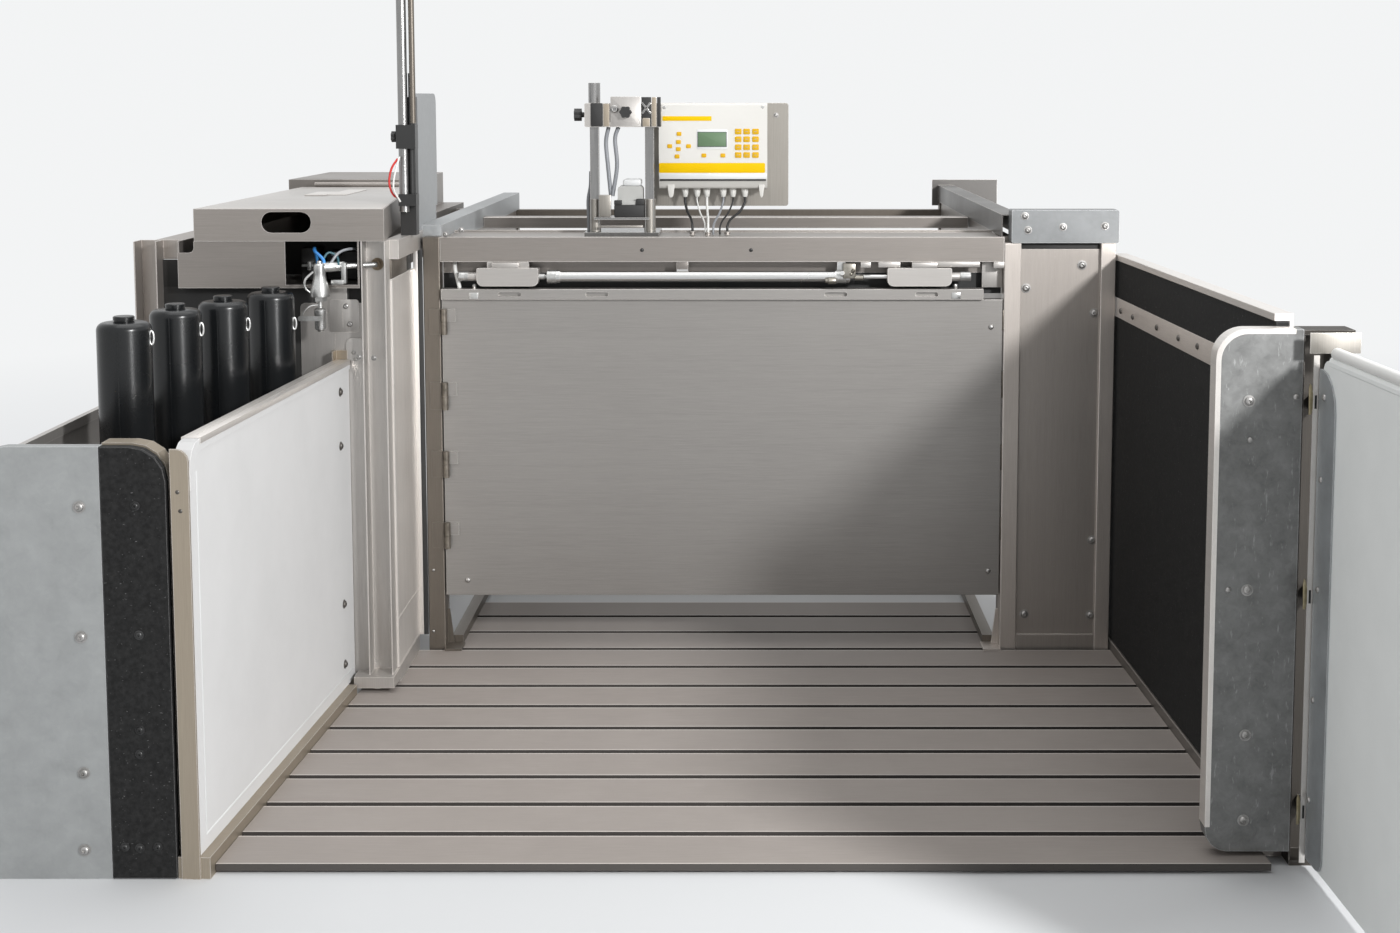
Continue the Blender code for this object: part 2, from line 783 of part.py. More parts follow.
CANISTER_PROFILE = [
    (0, CANISTER_BODY + 0.008 + CANISTER_CAP_HEIGHT),
    (CANISTER_CAP_RADIUS - 0.002, CANISTER_BODY + 0.008 + CANISTER_CAP_HEIGHT),
    (CANISTER_CAP_RADIUS, CANISTER_BODY + 0.006 + CANISTER_CAP_HEIGHT),
    (CANISTER_CAP_RADIUS, CANISTER_BODY + 0.008),
    (CANISTER_CAP_RADIUS + 0.004, CANISTER_BODY + 0.004),
    (CANISTER_RADIUS - 0.012, CANISTER_BODY - 0.001),
    (CANISTER_RADIUS - 0.004, CANISTER_BODY - 0.008),
    (CANISTER_RADIUS, CANISTER_BODY - 0.020),
    (CANISTER_RADIUS, 0.012),
    (CANISTER_RADIUS - 0.004, 0.003),
    (CANISTER_RADIUS - 0.010, 0),
    (0, 0),
]
for number, (x, y) in enumerate(CANISTERS, 1):
    where = (x, y, TRAY_TOP + CLEAR)
    place(f"canister_{number}", turned(CANISTER_PROFILE, 20, where), BLACK_GLOSS, at=where)


# Left frame posts

foot_x = (CORNER_LEFT_X[0] - 0.034, CORNER_LEFT_X[1] + 0.006)
foot_y = (CORNER_LEFT_Y[0] - 0.020, CORNER_LEFT_Y[1] + 0.015)
disc_at = (sum(foot_x) / 2, sum(foot_y) / 2)
side_beam_y = CORNER_LEFT_Y[1] - 0.001
place(
    "corner_post_left",
    joined(
        slab("XY", channel(CORNER_LEFT_X, *CORNER_LEFT_Y), CORNER_FOOT_TOP - 0.001, LEFT_POST_TOP),
        box(foot_x, foot_y, (CORNER_FOOT_BOTTOM, CORNER_FOOT_TOP)),
        rod((*disc_at, ON_FLOOR), (*disc_at, CORNER_FOOT_BOTTOM + 0.001), FOOT_DISC_RADIUS),
        box((CORNER_LEFT_X[0] + 0.010, SIDE_PANEL_X[1]), (foot_y[1] - 0.001, -CLEAR), (ON_FLOOR, 0.060)),
        box(SIDE_BEAM_X, (side_beam_y, POST - CLEAR), (OUTER_BEAM_BOTTOM, LEFT_POST_TOP)),
        box(
            (CORNER_LEFT_X[1] - 0.020, SIDE_BEAM_X[1]),
            (side_beam_y, -0.270),
            (OUTER_BEAM_BOTTOM, LEFT_POST_TOP),
        ),
    ),
    BRUSHED,
    edge=0.0008,
)
place(
    "outer_post_left",
    joined(
        slab("XY", channel(OUTER_POST_X, *CORNER_LEFT_Y), 0, LEFT_POST_TOP),
        box(
            (OUTER_POST_X[0] + 0.036, CABINET_X[0] - CLEAR),
            (CORNER_LEFT_Y[1] - 0.001, CABINET_REAR),
            (OUTER_BEAM_BOTTOM, LEFT_POST_TOP),
        ),
    ),
    BRUSHED,
    edge=0.0008,
)
place(
    "left_side_panel",
    box(SIDE_PANEL_X, (CORNER_LEFT_Y[1] + CLEAR, -CLEAR), (CORNER_FOOT_TOP + CLEAR, SIDE_PANEL_TOP)),
    BRUSHED,
    edge=0.0015,
)


# Gate posts, each with its foot

POST_X = (-HALF_OPENING - POST, -HALF_OPENING)


def gate_post(top):
    """The left post; the right one is its mirror image without the hinges."""
    post = soft(box(POST_X, (0, POST), (0, top)), 0.003, 2)
    foot = box(
        (POST_X[1] - 0.001, POST_X[1] + POST_FOOT_REACH),
        (POST_FOOT_FRONT, POST),
        (ON_FLOOR, ON_FLOOR + POST_FOOT_THICK),
    )
    gusset_outline = [
        (POST_X[1] - 0.001, ON_FLOOR),
        (POST_X[1] + 0.018, ON_FLOOR),
        (POST_X[1] + 0.006, 0.120),
        (POST_X[1] - 0.001, 0.120),
    ]
    return joined(post, foot, slab("XZ", gusset_outline, POST - 0.008, POST - 0.004))


def knuckle(bottom, top):
    return rod((HINGE_X, HINGE_Y, bottom), (HINGE_X, HINGE_Y, top), HINGE_RADIUS, 12)


left_post = gate_post(POST_TOP_LEFT)
leaf_y = (HINGE_Y + 0.004, 0.0008)
for bottom, top in HINGES:
    middle = (bottom + top) / 2 - HINGE_SPLIT / 2
    left_post = joined(
        left_post,
        box((-HALF_OPENING - 0.030, -HALF_OPENING - 0.0005), leaf_y, (bottom, top)),
        box(
            (-HALF_OPENING - 0.005, HINGE_X - 0.002),
            (leaf_y[0], -0.0008),
            (bottom + 0.0005, middle - 0.0005),
        ),
        knuckle(bottom, middle),
    )
place("gate_post_left", left_post, BRUSHED)
place("gate_post_right", mirrored(gate_post(POST_TOP_RIGHT)), BRUSHED)


# Right side frame

place(
    "corner_post_right",
    box(CORNER_RIGHT_X, (0, POST), (0, POST_TOP_RIGHT)),
    BRUSHED,
    edge=0.002,
    segments=2,
)
infill_x = (HALF_OPENING + POST + CLEAR, CORNER_RIGHT_X[0] - CLEAR)
place(
    "right_infill_panel",
    joined(
        box(infill_x, (INFILL_FACE, INFILL_FACE + SHEET), (0, INFILL_TOP)),
        box(infill_x, (INFILL_FACE - 0.008, INFILL_FACE + 0.001), (0, 0.058)),
    ),
    BRUSHED,
    edge=0.0010,
)
place(
    "right_header_box",
    cut(
        slab("XZ", rectangle(HEADER_X, HEADER_Z, 0.004), *HEADER_Y),
        box(
            (HEADER_X[0] + SHEET, HEADER_X[1] - SHEET),
            (HEADER_Y[0] + SHEET, HEADER_Y[1] + SHEET),
            (HEADER_Z[0] + SHEET, HEADER_Z[1] - SHEET),
        ),
    ),
    GALVANISED,
    edge=0.0008,
)


# Beams, rails and crate

def angle_rail(side, front, rear, z, extra=()):
    """A folded channel rail on top of the crate, open downwards; side is -1 for left."""
    x = sorted((side * HALF_OPENING, side * RAIL_OUTER))
    block = box(x, (front, rear), z)
    hollow = box((x[0] + SHEET, x[1] - SHEET), (front - SHEET, rear + SHEET), (z[0] - SHEET, z[1] - SHEET))
    rail = cut(block, hollow)
    return joined(rail, *extra) if extra else rail


place("side_rail_left", angle_rail(-1, POST + CLEAR, RAIL_REAR, RAIL_LEFT_Z), GALVANISED)
rear_header = box(
    (HALF_OPENING - 0.022, HALF_OPENING + 0.209),
    (RAIL_REAR + CLEAR, RAIL_REAR + CLEAR + SHEET),
    (RAIL_RIGHT_Z[0] - 0.014, RAIL_RIGHT_Z[1] + 0.020),
)
place(
    "side_rail_right",
    angle_rail(1, HEADER_Y[1] + CLEAR, RAIL_REAR + CLEAR + SHEET / 2, RAIL_RIGHT_Z, (rear_header,)),
    GALVANISED,
)

beam_x = (-HALF_OPENING + CLEAR, HALF_OPENING - CLEAR)
grommets = [
    rod((end_x, end_y, BEAM_TOP - 0.001), (end_x, end_y, GROMMET_TOP), GROMMET_RADIUS)
    for _, _, end_x, end_y in CABLES
]
place(
    "front_beam",
    joined(
        cut(
            box(beam_x, (0, BEAM_DEEP), (BEAM_BOTTOM, BEAM_TOP)),
            box(
                (beam_x[0] + SHEET, beam_x[1] - SHEET),
                (BEAM_FRONT_THICK, BEAM_DEEP - SHEET),
                (BEAM_BOTTOM - SHEET, BEAM_TOP - SHEET),
            ),
        ),
        box(beam_x, (0, SHEET), (BEAM_BOTTOM + 0.010, BEAM_TOP + BEAM_LIP)),
        box(beam_x, (BEAM_DEEP - SHEET, BEAM_DEEP), (BEAM_BOTTOM + 0.010, BEAM_TOP + BEAM_LIP)),
        *grommets,
    ),
    BRUSHED,
    edge=0.0008,
)
place("rear_beam", box(beam_x, (0.790, 0.850), (1.099, POST_TOP_LEFT)), BRUSHED, edge=0.0015)

rear_outline = [
    (-HALF_OPENING - POST, 0),
    (-HALF_OPENING, 0),
    (-HALF_OPENING, 1.060),
    (HALF_OPENING, 1.060),
    (HALF_OPENING, 0),
    (HALF_OPENING + POST, 0),
    (HALF_OPENING + POST, RAIL_RIGHT_Z[0] - CLEAR),
    (HALF_OPENING, RAIL_RIGHT_Z[0] - CLEAR),
    (HALF_OPENING, RAIL_LEFT_Z[0] - CLEAR),
    (-HALF_OPENING - POST, RAIL_LEFT_Z[0] - CLEAR),
]
rear_near = RAIL_REAR - POST
runners = [
    box(
        sorted((side * (HALF_OPENING - RUNNER_IN), side * (HALF_OPENING - RUNNER_IN - RUNNER_WIDE))),
        (POST + CLEAR, rear_near + 0.001),
        (ON_FLOOR, RUNNER_TOP),
    )
    for side in (-1, 1)
]
runner_feet = [
    box(
        sorted((side * HALF_OPENING + side * 0.001, side * (HALF_OPENING - RUNNER_IN - RUNNER_WIDE))),
        (rear_near, RAIL_REAR),
        (ON_FLOOR, RUNNER_TOP),
    )
    for side in (-1, 1)
]
place(
    "rear_frame",
    joined(slab("XZ", rear_outline, rear_near, RAIL_REAR), *runners, *runner_feet),
    BRUSHED,
    edge=0.0010,
)


def crate_wall(side, near, top):
    """A crate side panel on two legs that stand on the ground."""
    x = sorted((side * CRATE_WALL_X[0], side * CRATE_WALL_X[1]))
    leg = 0.050
    outline = [
        (near, 0),
        (near + leg, 0),
        (near + leg, CRATE_WALL_BOTTOM),
        (CRATE_REAR - leg, CRATE_WALL_BOTTOM),
        (CRATE_REAR - leg, 0),
        (CRATE_REAR, 0),
        (CRATE_REAR, top),
        (near, top),
    ]
    wall = slab("YZ", outline, *x)
    recess = [
        (near + CRATE_FRAME, CRATE_WALL_BOTTOM + CRATE_FRAME),
        (CRATE_REAR - CRATE_FRAME, CRATE_WALL_BOTTOM + CRATE_FRAME),
        (CRATE_REAR - CRATE_FRAME, top - CRATE_FRAME),
        (near + CRATE_FRAME, top - CRATE_FRAME),
    ]
    deep = (side * (CRATE_WALL_X[0] + SHEET), side * (CRATE_WALL_X[1] + SHEET))
    return cut(wall, slab("YZ", recess, *sorted(deep)))


place("crate_wall_left", crate_wall(-1, POST + 0.001, RAIL_LEFT_Z[0] - CLEAR), BRUSHED)
place("crate_wall_right", crate_wall(1, HEADER_Y[1] + CLEAR, RAIL_RIGHT_Z[0] - CLEAR), BRUSHED)

platform_x = (-PLATFORM_HALF, PLATFORM_HALF)
platform_feet = [
    rod((x, y, 0), (x, y, PLATFORM_Z[1] - SHEET / 2), 0.025)
    for x in (-PLATFORM_HALF + PLATFORM_FOOT_IN, PLATFORM_HALF - PLATFORM_FOOT_IN)
    for y in (PLATFORM_Y[0] + 0.100, PLATFORM_Y[1] - 0.100)
]
platform = cut(
    box(platform_x, PLATFORM_Y, PLATFORM_Z),
    box(
        (platform_x[0] + PLATFORM_WALL, platform_x[1] - PLATFORM_WALL),
        (PLATFORM_Y[0] + PLATFORM_WALL, PLATFORM_Y[1] - PLATFORM_WALL),
        (PLATFORM_Z[0] - SHEET, PLATFORM_Z[1] - SHEET),
    ),
)
place("weigh_platform", joined(platform, *platform_feet), BRUSHED)


# Gate: a shallow folded tray with two stiffeners, its hinge leaves, and the guide rail along its top

gate_x = (-GATE_HALF, GATE_HALF)
gate_y = (GATE_FACE, GATE_FACE + GATE_DEEP)
gate_tray = cut(
    soft(box(gate_x, gate_y, (GATE_BOTTOM, GATE_TOP)), 0.0015, 2),
    box(
        (gate_x[0] + SHEET, gate_x[1] - SHEET),
        (gate_y[0] + SHEET, gate_y[1] + SHEET),
        (GATE_BOTTOM + SHEET, GATE_TOP - SHEET),
    ),
)
stiffeners = [
    box(
        (x - 0.020, x + 0.020),
        (gate_y[0] + SHEET / 2, gate_y[1] - 0.005),
        (GATE_BOTTOM + SHEET / 2, GATE_TOP - SHEET / 2),
    )
    for x in (-0.250, 0.250)
]
gate_leaves = []
for bottom, top in HINGES:
    middle = (bottom + top) / 2 + HINGE_SPLIT / 2
    leaf = box(
        (HINGE_X + 0.002, HINGE_X + 0.030),
        (leaf_y[0], gate_y[0] + 0.001),
        (middle + 0.0005, top - 0.0005),
    )
    gate_leaves.extend((leaf, knuckle(middle, top)))
place(
    "gate_panel",
    joined(gate_tray, *stiffeners, *gate_leaves),
    BRUSHED,
    at=(HINGE_X, HINGE_Y, GATE_BOTTOM),
)

guide_z = (GATE_TOP + CLEAR, GUIDE_TOP)
guide_y = (-0.012, 0.030)
slots = [
    slab(
        "XZ",
        rectangle((x - 0.030, x + 0.030), (guide_z[0] + 0.009, guide_z[1] - 0.008), 0.005),
        guide_y[0] - 0.001,
        guide_y[0] + 0.012,
    )
    for x in (-0.560, -0.330, 0.300, 0.540)
]
studs = [
    rod((x, 0, guide_z[1] - 0.001), (x, 0, STUD_TOP), STUD_RADIUS, 8)
    for x in STUDS
]
place(
    "gate_guide_rail",
    joined(cut(soft(box((-GATE_HALF, GUIDE_RIGHT), guide_y, guide_z), 0.0010), *slots), *studs),
    BRUSHED,
    at=(HINGE_X, HINGE_Y, GATE_TOP),
)


# Gate lock under the front beam

UNDER_BEAM = BEAM_BOTTOM - CLEAR
barrel_bracket = (-0.120, -0.090)
barrel = joined(
    rod((BARREL_X[0], 0, LOCK_Z), (BARREL_X[1], 0, LOCK_Z), BARREL_RADIUS, 18),
    rod((BARREL_X[0] - 0.004, 0, LOCK_Z), (BARREL_X[0] + 0.030, 0, LOCK_Z), BARREL_RADIUS + 0.003, 18),
    rod((BARREL_X[1] - 0.040, 0, LOCK_Z), (BARREL_X[1] - 0.002, 0, LOCK_Z), BARREL_RADIUS + 0.003, 18),
    box(barrel_bracket, (0.004, 0.012), (LOCK_Z - 0.002, UNDER_BEAM)),
    box((BARREL_X[1] - 0.034, BARREL_X[1] - 0.012), (0.004, 0.012), (LOCK_Z, UNDER_BEAM)),
    rod((BARREL_X[1] - 0.022, 0, LOCK_Z), (BARREL_X[1] - 0.022, -0.028, LOCK_Z + 0.012), 0.006, 12),
)
rod_bore = rod(
    (BARREL_X[1] - ROD_DEEP, 0, LOCK_Z), (BARREL_X[1] + 0.010, 0, LOCK_Z), ROD_RADIUS + ROD_PLAY, 14
)
place(
    "cylinder_barrel",
    cut(barrel, rod_bore),
    ALUMINIUM,
    at=(BARREL_X[0], 0, LOCK_Z),
)
place(
    "piston_rod",
    rod((BARREL_X[1] - ROD_INSERT, 0, LOCK_Z), (SLIDING_HOUSING_X[0] - CLEAR, 0, LOCK_Z), ROD_RADIUS, 14),
    ALUMINIUM,
    at=(BARREL_X[1], 0, LOCK_Z),
)


def lock_housing(x, stub_to):
    """A folded housing with rounded lower corners and a round stub at one end."""
    z = (LOCK_Z - HOUSING_HALF, LOCK_Z + HOUSING_HALF)
    outline = rounded([(x[0], z[0], 0.016), (x[1], z[0], 0.016), (x[1], z[1], 0.004), (x[0], z[1], 0.004)])
    body = soft(slab("XZ", outline, -HOUSING_DEEP, HOUSING_DEEP), 0.0015)
    end = x[0] if stub_to < x[0] else x[1]
    inward = 0.002 if stub_to < x[0] else -0.002
    return body, rod((end + inward, 0, LOCK_Z), (stub_to, 0, LOCK_Z), STUB_RADIUS, 16)


body, stub = lock_housing(FIXED_HOUSING_X, FIXED_HOUSING_X[0] - STUB_LENGTH)
hanger_x = (FIXED_HOUSING_X[0] + 0.026, FIXED_HOUSING_X[1] - 0.027)
place(
    "fixed_housing",
    joined(body, stub, box(hanger_x, (-0.004, 0.016), (LOCK_Z, UNDER_BEAM))),
    BRUSHED,
    at=(FIXED_HOUSING_X[0], 0, LOCK_Z),
)
body, stub = lock_housing(SLIDING_HOUSING_X, SLIDING_HOUSING_X[1] + STUB_LENGTH)
place(
    "sliding_housing",
    joined(body, stub),
    BRUSHED,
    at=(SLIDING_HOUSING_X[0], 0, LOCK_Z),
)


# Right wall and the hinge post at its front end

place(
    "right_wall_rail",
    box((0, RIGHT_RAIL), (-RIGHT_WALL_LENGTH, 0), (0, RIGHT_RAIL)),
    BRUSHED,
    parent=right_wall,
    edge=0.0015,
)
board_x = (RIGHT_BOARD_FACE, RIGHT_BOARD_FACE + RIGHT_BOARD_THICK)
place(
    "right_wall_board",
    box(board_x, (-RIGHT_WALL_LENGTH, 0), (RIGHT_RAIL + CLEAR, RIGHT_BOARD_TOP)),
    BLACK_BOARD,
    parent=right_wall,
    edge=0.0015,
)
cap_z = (RIGHT_BOARD_TOP + CLEAR, RIGHT_BOARD_TOP + CLEAR + RIGHT_CAP_HEIGHT)
cap_x = (board_x[0] - CLEAR - 0.003, board_x[1] + CLEAR + 0.008)
place(
    "right_wall_cap",
    joined(
        box(cap_x, (-RIGHT_WALL_LENGTH, 0), cap_z),
        box((board_x[1] + CLEAR, cap_x[1]), (-RIGHT_WALL_LENGTH, 0), (cap_z[0] - 0.030, cap_z[1] - 0.001)),
    ),
    BRUSHED,
    parent=right_wall,
    edge=0.0010,
)

end_outline = rounded(
    [
        (END_PLATE_X[0], END_PLATE_Z[0], 0.045),
        (END_PLATE_X[1], END_PLATE_Z[0], 0),
        (END_PLATE_X[1], END_PLATE_Z[1], 0),
        (END_PLATE_X[0], END_PLATE_Z[1], 0.060),
    ]
)
end_hollow = rounded(
    [
        (END_PLATE_X[0] + SHEET, END_PLATE_Z[0] + SHEET, 0.042),
        (END_PLATE_X[1] - SHEET, END_PLATE_Z[0] + SHEET, 0),
        (END_PLATE_X[1] - SHEET, END_PLATE_Z[1] - SHEET, 0),
        (END_PLATE_X[0] + SHEET, END_PLATE_Z[1] - SHEET, 0.057),
    ]
)
place(
    "right_end_plate",
    cut(
        slab("XZ", end_outline, *END_PLATE_Y),
        slab("XZ", end_hollow, END_PLATE_Y[0] + SHEET, END_PLATE_Y[1] + SHEET),
    ),
    GALVANISED,
    edge=0.0010,
)

post_mesh = slab("XY", channel(HINGE_POST_X, *HINGE_POST_Y), 0, HINGE_POST_TOP)
post_cap = ((HINGE_POST_X[0], HINGE_POST_X[1] + 0.010), (HINGE_POST_Y[0] - 0.004, HINGE_POST_Y[1]))
post_extras = [
    box(*post_cap, (HINGE_POST_TOP - 0.001, HINGE_POST_TOP + 0.008)),
    box(*post_cap, (0, 0.010)),
]
for height in DOOR_HINGES:
    lower = (height - DOOR_LUG, height - HINGE_SPLIT / 2)
    post_extras.append(rod((*DOOR_AT, lower[0]), (*DOOR_AT, lower[1]), DOOR_HINGE_RADIUS, 12))
    post_extras.append(
        box(
            (DOOR_AT[0] - 0.006, DOOR_AT[0] + 0.006),
            (DOOR_AT[1] + 0.004, HINGE_POST_Y[1] - 0.001),
            (lower[0] + 0.002, lower[1] - 0.002),
        )
    )
place("hinge_post", joined(post_mesh, *post_extras), BRUSHED)


# Side door: a white panel with a tube along its top, and the galvanised plate that carries its hinges

door_start = -0.022
door_x = (-DOOR_THICK / 2, DOOR_THICK / 2)
door_y = (-DOOR_LENGTH, door_start)
top_radius = 0.030
door_outline = rounded(
    [
        (door_y[0], DOOR_BOTTOM, 0.004),
        (door_y[1], DOOR_BOTTOM, 0.004),
        (door_y[1], DOOR_TOP - 0.010, top_radius),
        (door_y[0], DOOR_TOP - 0.010, 0.004),
    ]
)
tube_z = DOOR_TOP - DOOR_THICK / 2
door_tube = rod((0, door_y[0], tube_z), (0, door_y[1] - top_radius, tube_z), DOOR_THICK / 2 + 0.001, 14)
place(
    "door_panel",
    joined(slab("YZ", door_outline, *door_x), door_tube),
    WHITE,
    parent=side_door,
    edge=0.0015,
)
plate_x = (door_x[0] - CLEAR - SHEET, door_x[0] - CLEAR)
edge_outline = rounded(
    [
        (-0.100, DOOR_BOTTOM + 0.002, 0.030),
        (-0.0125, DOOR_BOTTOM + 0.002, 0.004),
        (-0.0125, DOOR_TOP - 0.030, 0.004),
        (-0.100, DOOR_TOP - 0.030, 0.075),
    ]
)
edge_parts = [
    box(
        (plate_x[0] + 0.0005, 0.004),
        (door_start + CLEAR, -0.013),
        (DOOR_BOTTOM + 0.004, DOOR_TOP - 0.040),
    )
]
for height in DOOR_HINGES:
    upper = (height + HINGE_SPLIT / 2, height + DOOR_LUG)
    edge_parts.append(rod((0, 0, upper[0]), (0, 0, upper[1]), DOOR_HINGE_RADIUS, 12))
    edge_parts.append(box((-0.005, 0.0035), (-0.0135, -0.004), (upper[0] + 0.002, upper[1] - 0.002)))
place(
    "door_edge_plate",
    joined(slab("YZ", edge_outline, *plate_x), *edge_parts),
    GALVANISED,
    parent=side_door,
)


# Cabinet for the air valves

opening_x = (CABINET_X[1] - 0.181, CABINET_X[1] - 0.004)
cabinet_hollow = box(
    (CABINET_X[0] + SHEET, CABINET_X[1] - SHEET),
    (CABINET_FRONT + SHEET, CABINET_REAR - SHEET),
    (CABINET_Z[0] + SHEET, CABINET_Z[1] + SHEET),
)
cabinet_door_gap = box(
    opening_x,
    (CABINET_FRONT - SHEET, CABINET_FRONT + 2 * SHEET),
    (CABINET_Z[0] + 0.008, CABINET_Z[1] + SHEET),
)
notch = slab(
    "XZ",
    rounded(
        [
            (CABINET_X[0] + 0.004, CABINET_Z[1] - 0.028, 0),
            (CABINET_X[0] + 0.040, CABINET_Z[1] - 0.028, 0.012),
            (CABINET_X[0] + 0.040, CABINET_Z[1] + 0.010, 0),
            (CABINET_X[0] + 0.004, CABINET_Z[1] + 0.010, 0),
        ]
    ),
    CABINET_FRONT - SHEET,
    CABINET_FRONT + 2 * SHEET,
)
tray = cut(
    box(CABINET_X, (CABINET_FRONT, CABINET_REAR), CABINET_Z),
    cabinet_hollow,
    cabinet_door_gap,
    notch,
)
hood_y = (CABINET_SPLIT + 0.0015, CABINET_REAR)
hood = cut(
    box((CABINET_X[0], HOOD_RIGHT), hood_y, (CABINET_Z[1] - 0.001, HOOD_TOP)),
    box(
        (CABINET_X[0] + SHEET, HOOD_RIGHT - SHEET),
        (hood_y[0] + SHEET, hood_y[1] - SHEET),
        (CABINET_Z[1] - 0.004, HOOD_TOP - SHEET),
    ),
)
hood_deck = box(
    (HOOD_RIGHT - SHEET, CABINET_X[1]),
    (hood_y[0], hood_y[1]),
    (CABINET_Z[1] - 0.002, CABINET_Z[1] + 0.001),
)
arms = [
    box((CABINET_X[1] - 0.001, -RAIL_OUTER - 2 * CLEAR), (y, y + 0.040), (1.105, 1.135))
    for y in (0.450, 1.150)
]
place("cabinet_body", joined(tray, hood, hood_deck, *arms), BRUSHED)

lid_rear = CABINET_SPLIT
lid_rear_right = HOOD_RIGHT + 0.002


def lid_outline(inset):
    return [
        (LID_LEFT + inset, LID_FRONT + inset),
        (LID_RIGHT - inset, LID_FRONT + inset),
        (lid_rear_right - inset, lid_rear - inset),
        (LID_LEFT + inset, lid_rear - inset),
    ]


lid_block = slab("XY", lid_outline(0), LID_BOTTOM, LID_TOP)
lid_hollow = slab("XY", lid_outline(SHEET), LID_BOTTOM - SHEET, LID_TOP - SHEET)
hand_hole = slab(
    "XZ",
    rectangle((LID_LEFT + 0.166, LID_LEFT + 0.287), (LID_BOTTOM + 0.0209, LID_TOP - 0.0075), 0.0245),
    LID_FRONT - SHEET,
    LID_FRONT + 2 * SHEET,
)
lid_axis_y = lid_rear - LID_AXIS_IN
lid_knuckle = rod(
    (LID_LEFT + 0.040, lid_axis_y, LID_AXIS_Z), (lid_rear_right - 0.040, lid_axis_y, LID_AXIS_Z), 0.008, 12
)
place(
    "cabinet_lid",
    joined(cut(lid_block, lid_hollow, hand_hole), lid_knuckle),
    BRUSHED,
    at=((LID_LEFT + lid_rear_right) / 2, lid_axis_y, LID_AXIS_Z),
    edge=0.0008,
)

bracket_outline = rounded(
    [
        (CABINET_X[1] - 0.156, 0.768, 0.012),
        (CORNER_LEFT_X[0] - CLEAR, 0.768, 0),
        (CORNER_LEFT_X[0] - CLEAR, 0.992, 0),
        (CABINET_X[1] - 0.040, 0.992, 0.004),
        (CABINET_X[1] - 0.040, CABINET_Z[0] - CLEAR, 0),
        (CABINET_X[1] - 0.115, CABINET_Z[0] - CLEAR, 0),
        (CABINET_X[1] - 0.115, 0.992, 0.004),
        (CABINET_X[1] - 0.156, 0.992, 0.012),
    ]
)
place("valve_bracket", slab("XZ", bracket_outline, *BRACKET_Y), BRUSHED, edge=0.0008)

regulator_at = (REGULATOR_X, REGULATOR_Y)
REGULATOR_PROFILE = [
    (0, 1.104),
    (0.008, 1.104),
    (0.010, 1.100),
    (0.010, 1.090),
    (0.020, 1.086),
    (0.026, 1.078),
    (0.026, 1.062),
    (0.018, 1.056),
    (0.018, 1.030),
    (0.022, 1.026),
    (0.022, 1.012),
    (0.013, 1.006),
    (0.013, 0.986),
    (0.017, 0.982),
    (0.017, 0.948),
    (0.010, 0.942),
    (0.010, 0.930),
    (0, 0.930),
]
pipe_z = 1.090
flange_x = sum(CORNER_LEFT_X) / 2
pipe_route = smooth_route(
    [
        (REGULATOR_X, REGULATOR_Y, 1.068),
        (REGULATOR_X + 0.028, -0.372, 1.076),
        (REGULATOR_X + 0.058, -0.366, pipe_z),
        (flange_x - 0.030, -0.364, pipe_z),
        (flange_x - 0.006, -0.354, pipe_z),
        (flange_x, -0.330, pipe_z),
        (flange_x, CORNER_LEFT_Y[1] - SHEET - CLEAR, pipe_z),
    ],
    0.012,
)
flange_y = CORNER_LEFT_Y[1] - SHEET - CLEAR
place(
    "air_regulator",
    joined(
        turned(REGULATOR_PROFILE, 14, (*regulator_at, 0)),
        tube_mesh(pipe_route, 0.008),
        rod((flange_x, flange_y - 0.005, pipe_z), (flange_x, flange_y, pipe_z), 0.019, 18),
        rod((REGULATOR_X, REGULATOR_Y, 0.997), (REGULATOR_X, BRACKET_Y[0] - CLEAR, 0.997), 0.009, 12),
        rod((REGULATOR_X, REGULATOR_Y, VALVE_Z), (REGULATOR_X, -0.393, VALVE_Z), 0.007, 12),
        rod((REGULATOR_X - 0.012, REGULATOR_Y, 1.040), (REGULATOR_X - 0.045, REGULATOR_Y, 1.040), 0.008, 12),
        rod((REGULATOR_X + 0.012, REGULATOR_Y, 1.042), (REGULATOR_X + 0.040, REGULATOR_Y, 1.042), 0.010, 12),
    ),
    ALUMINIUM,
    at=(*regulator_at, 0.930),
)
lever_y = (-0.393 - LEVER_GAP - 0.003, -0.393 - LEVER_GAP)
lever_outline = rounded(
    [
        (REGULATOR_X - 0.050, VALVE_Z - 0.006, 0.005),
        (REGULATOR_X + 0.009, VALVE_Z - 0.006, 0.005),
        (REGULATOR_X + 0.009, VALVE_Z + 0.006, 0.005),
        (REGULATOR_X - 0.050, VALVE_Z + 0.006, 0.005),
    ]
)
place(
    "valve_lever",
    slab("XZ", lever_outline, *lever_y),
    ALUMINIUM,
    at=(REGULATOR_X, lever_y[0], VALVE_Z),
)


# Controller: a moulded box with a stepped lower edge and six glands, on a stainless plate

controller_profile = rounded(
    [
        (CONTROLLER_Y[0], CONTROLLER_Z[0] + 0.026, 0.006),
        (CONTROLLER_Y[0] + 0.018, CONTROLLER_Z[0], 0.012),
        (CONTROLLER_Y[1], CONTROLLER_Z[0], 0),
        (CONTROLLER_Y[1], CONTROLLER_Z[1], 0.004),
        (CONTROLLER_Y[0], CONTROLLER_Z[1], 0.006),
    ]
)
glands = []
box_bottom = CONTROLLER_Z[0]
for x in GLAND_X:
    nut = rod((x, GLAND_Y, box_bottom + 0.002), (x, GLAND_Y, box_bottom - 0.008), GLAND_RADIUS, 6)
    dome_ends = ((x, GLAND_Y, box_bottom - 0.007), (x, GLAND_Y, box_bottom - GLAND_LENGTH))
    glands.extend((nut, rod(*dome_ends, GLAND_RADIUS - 0.001, 8, 0.006)))
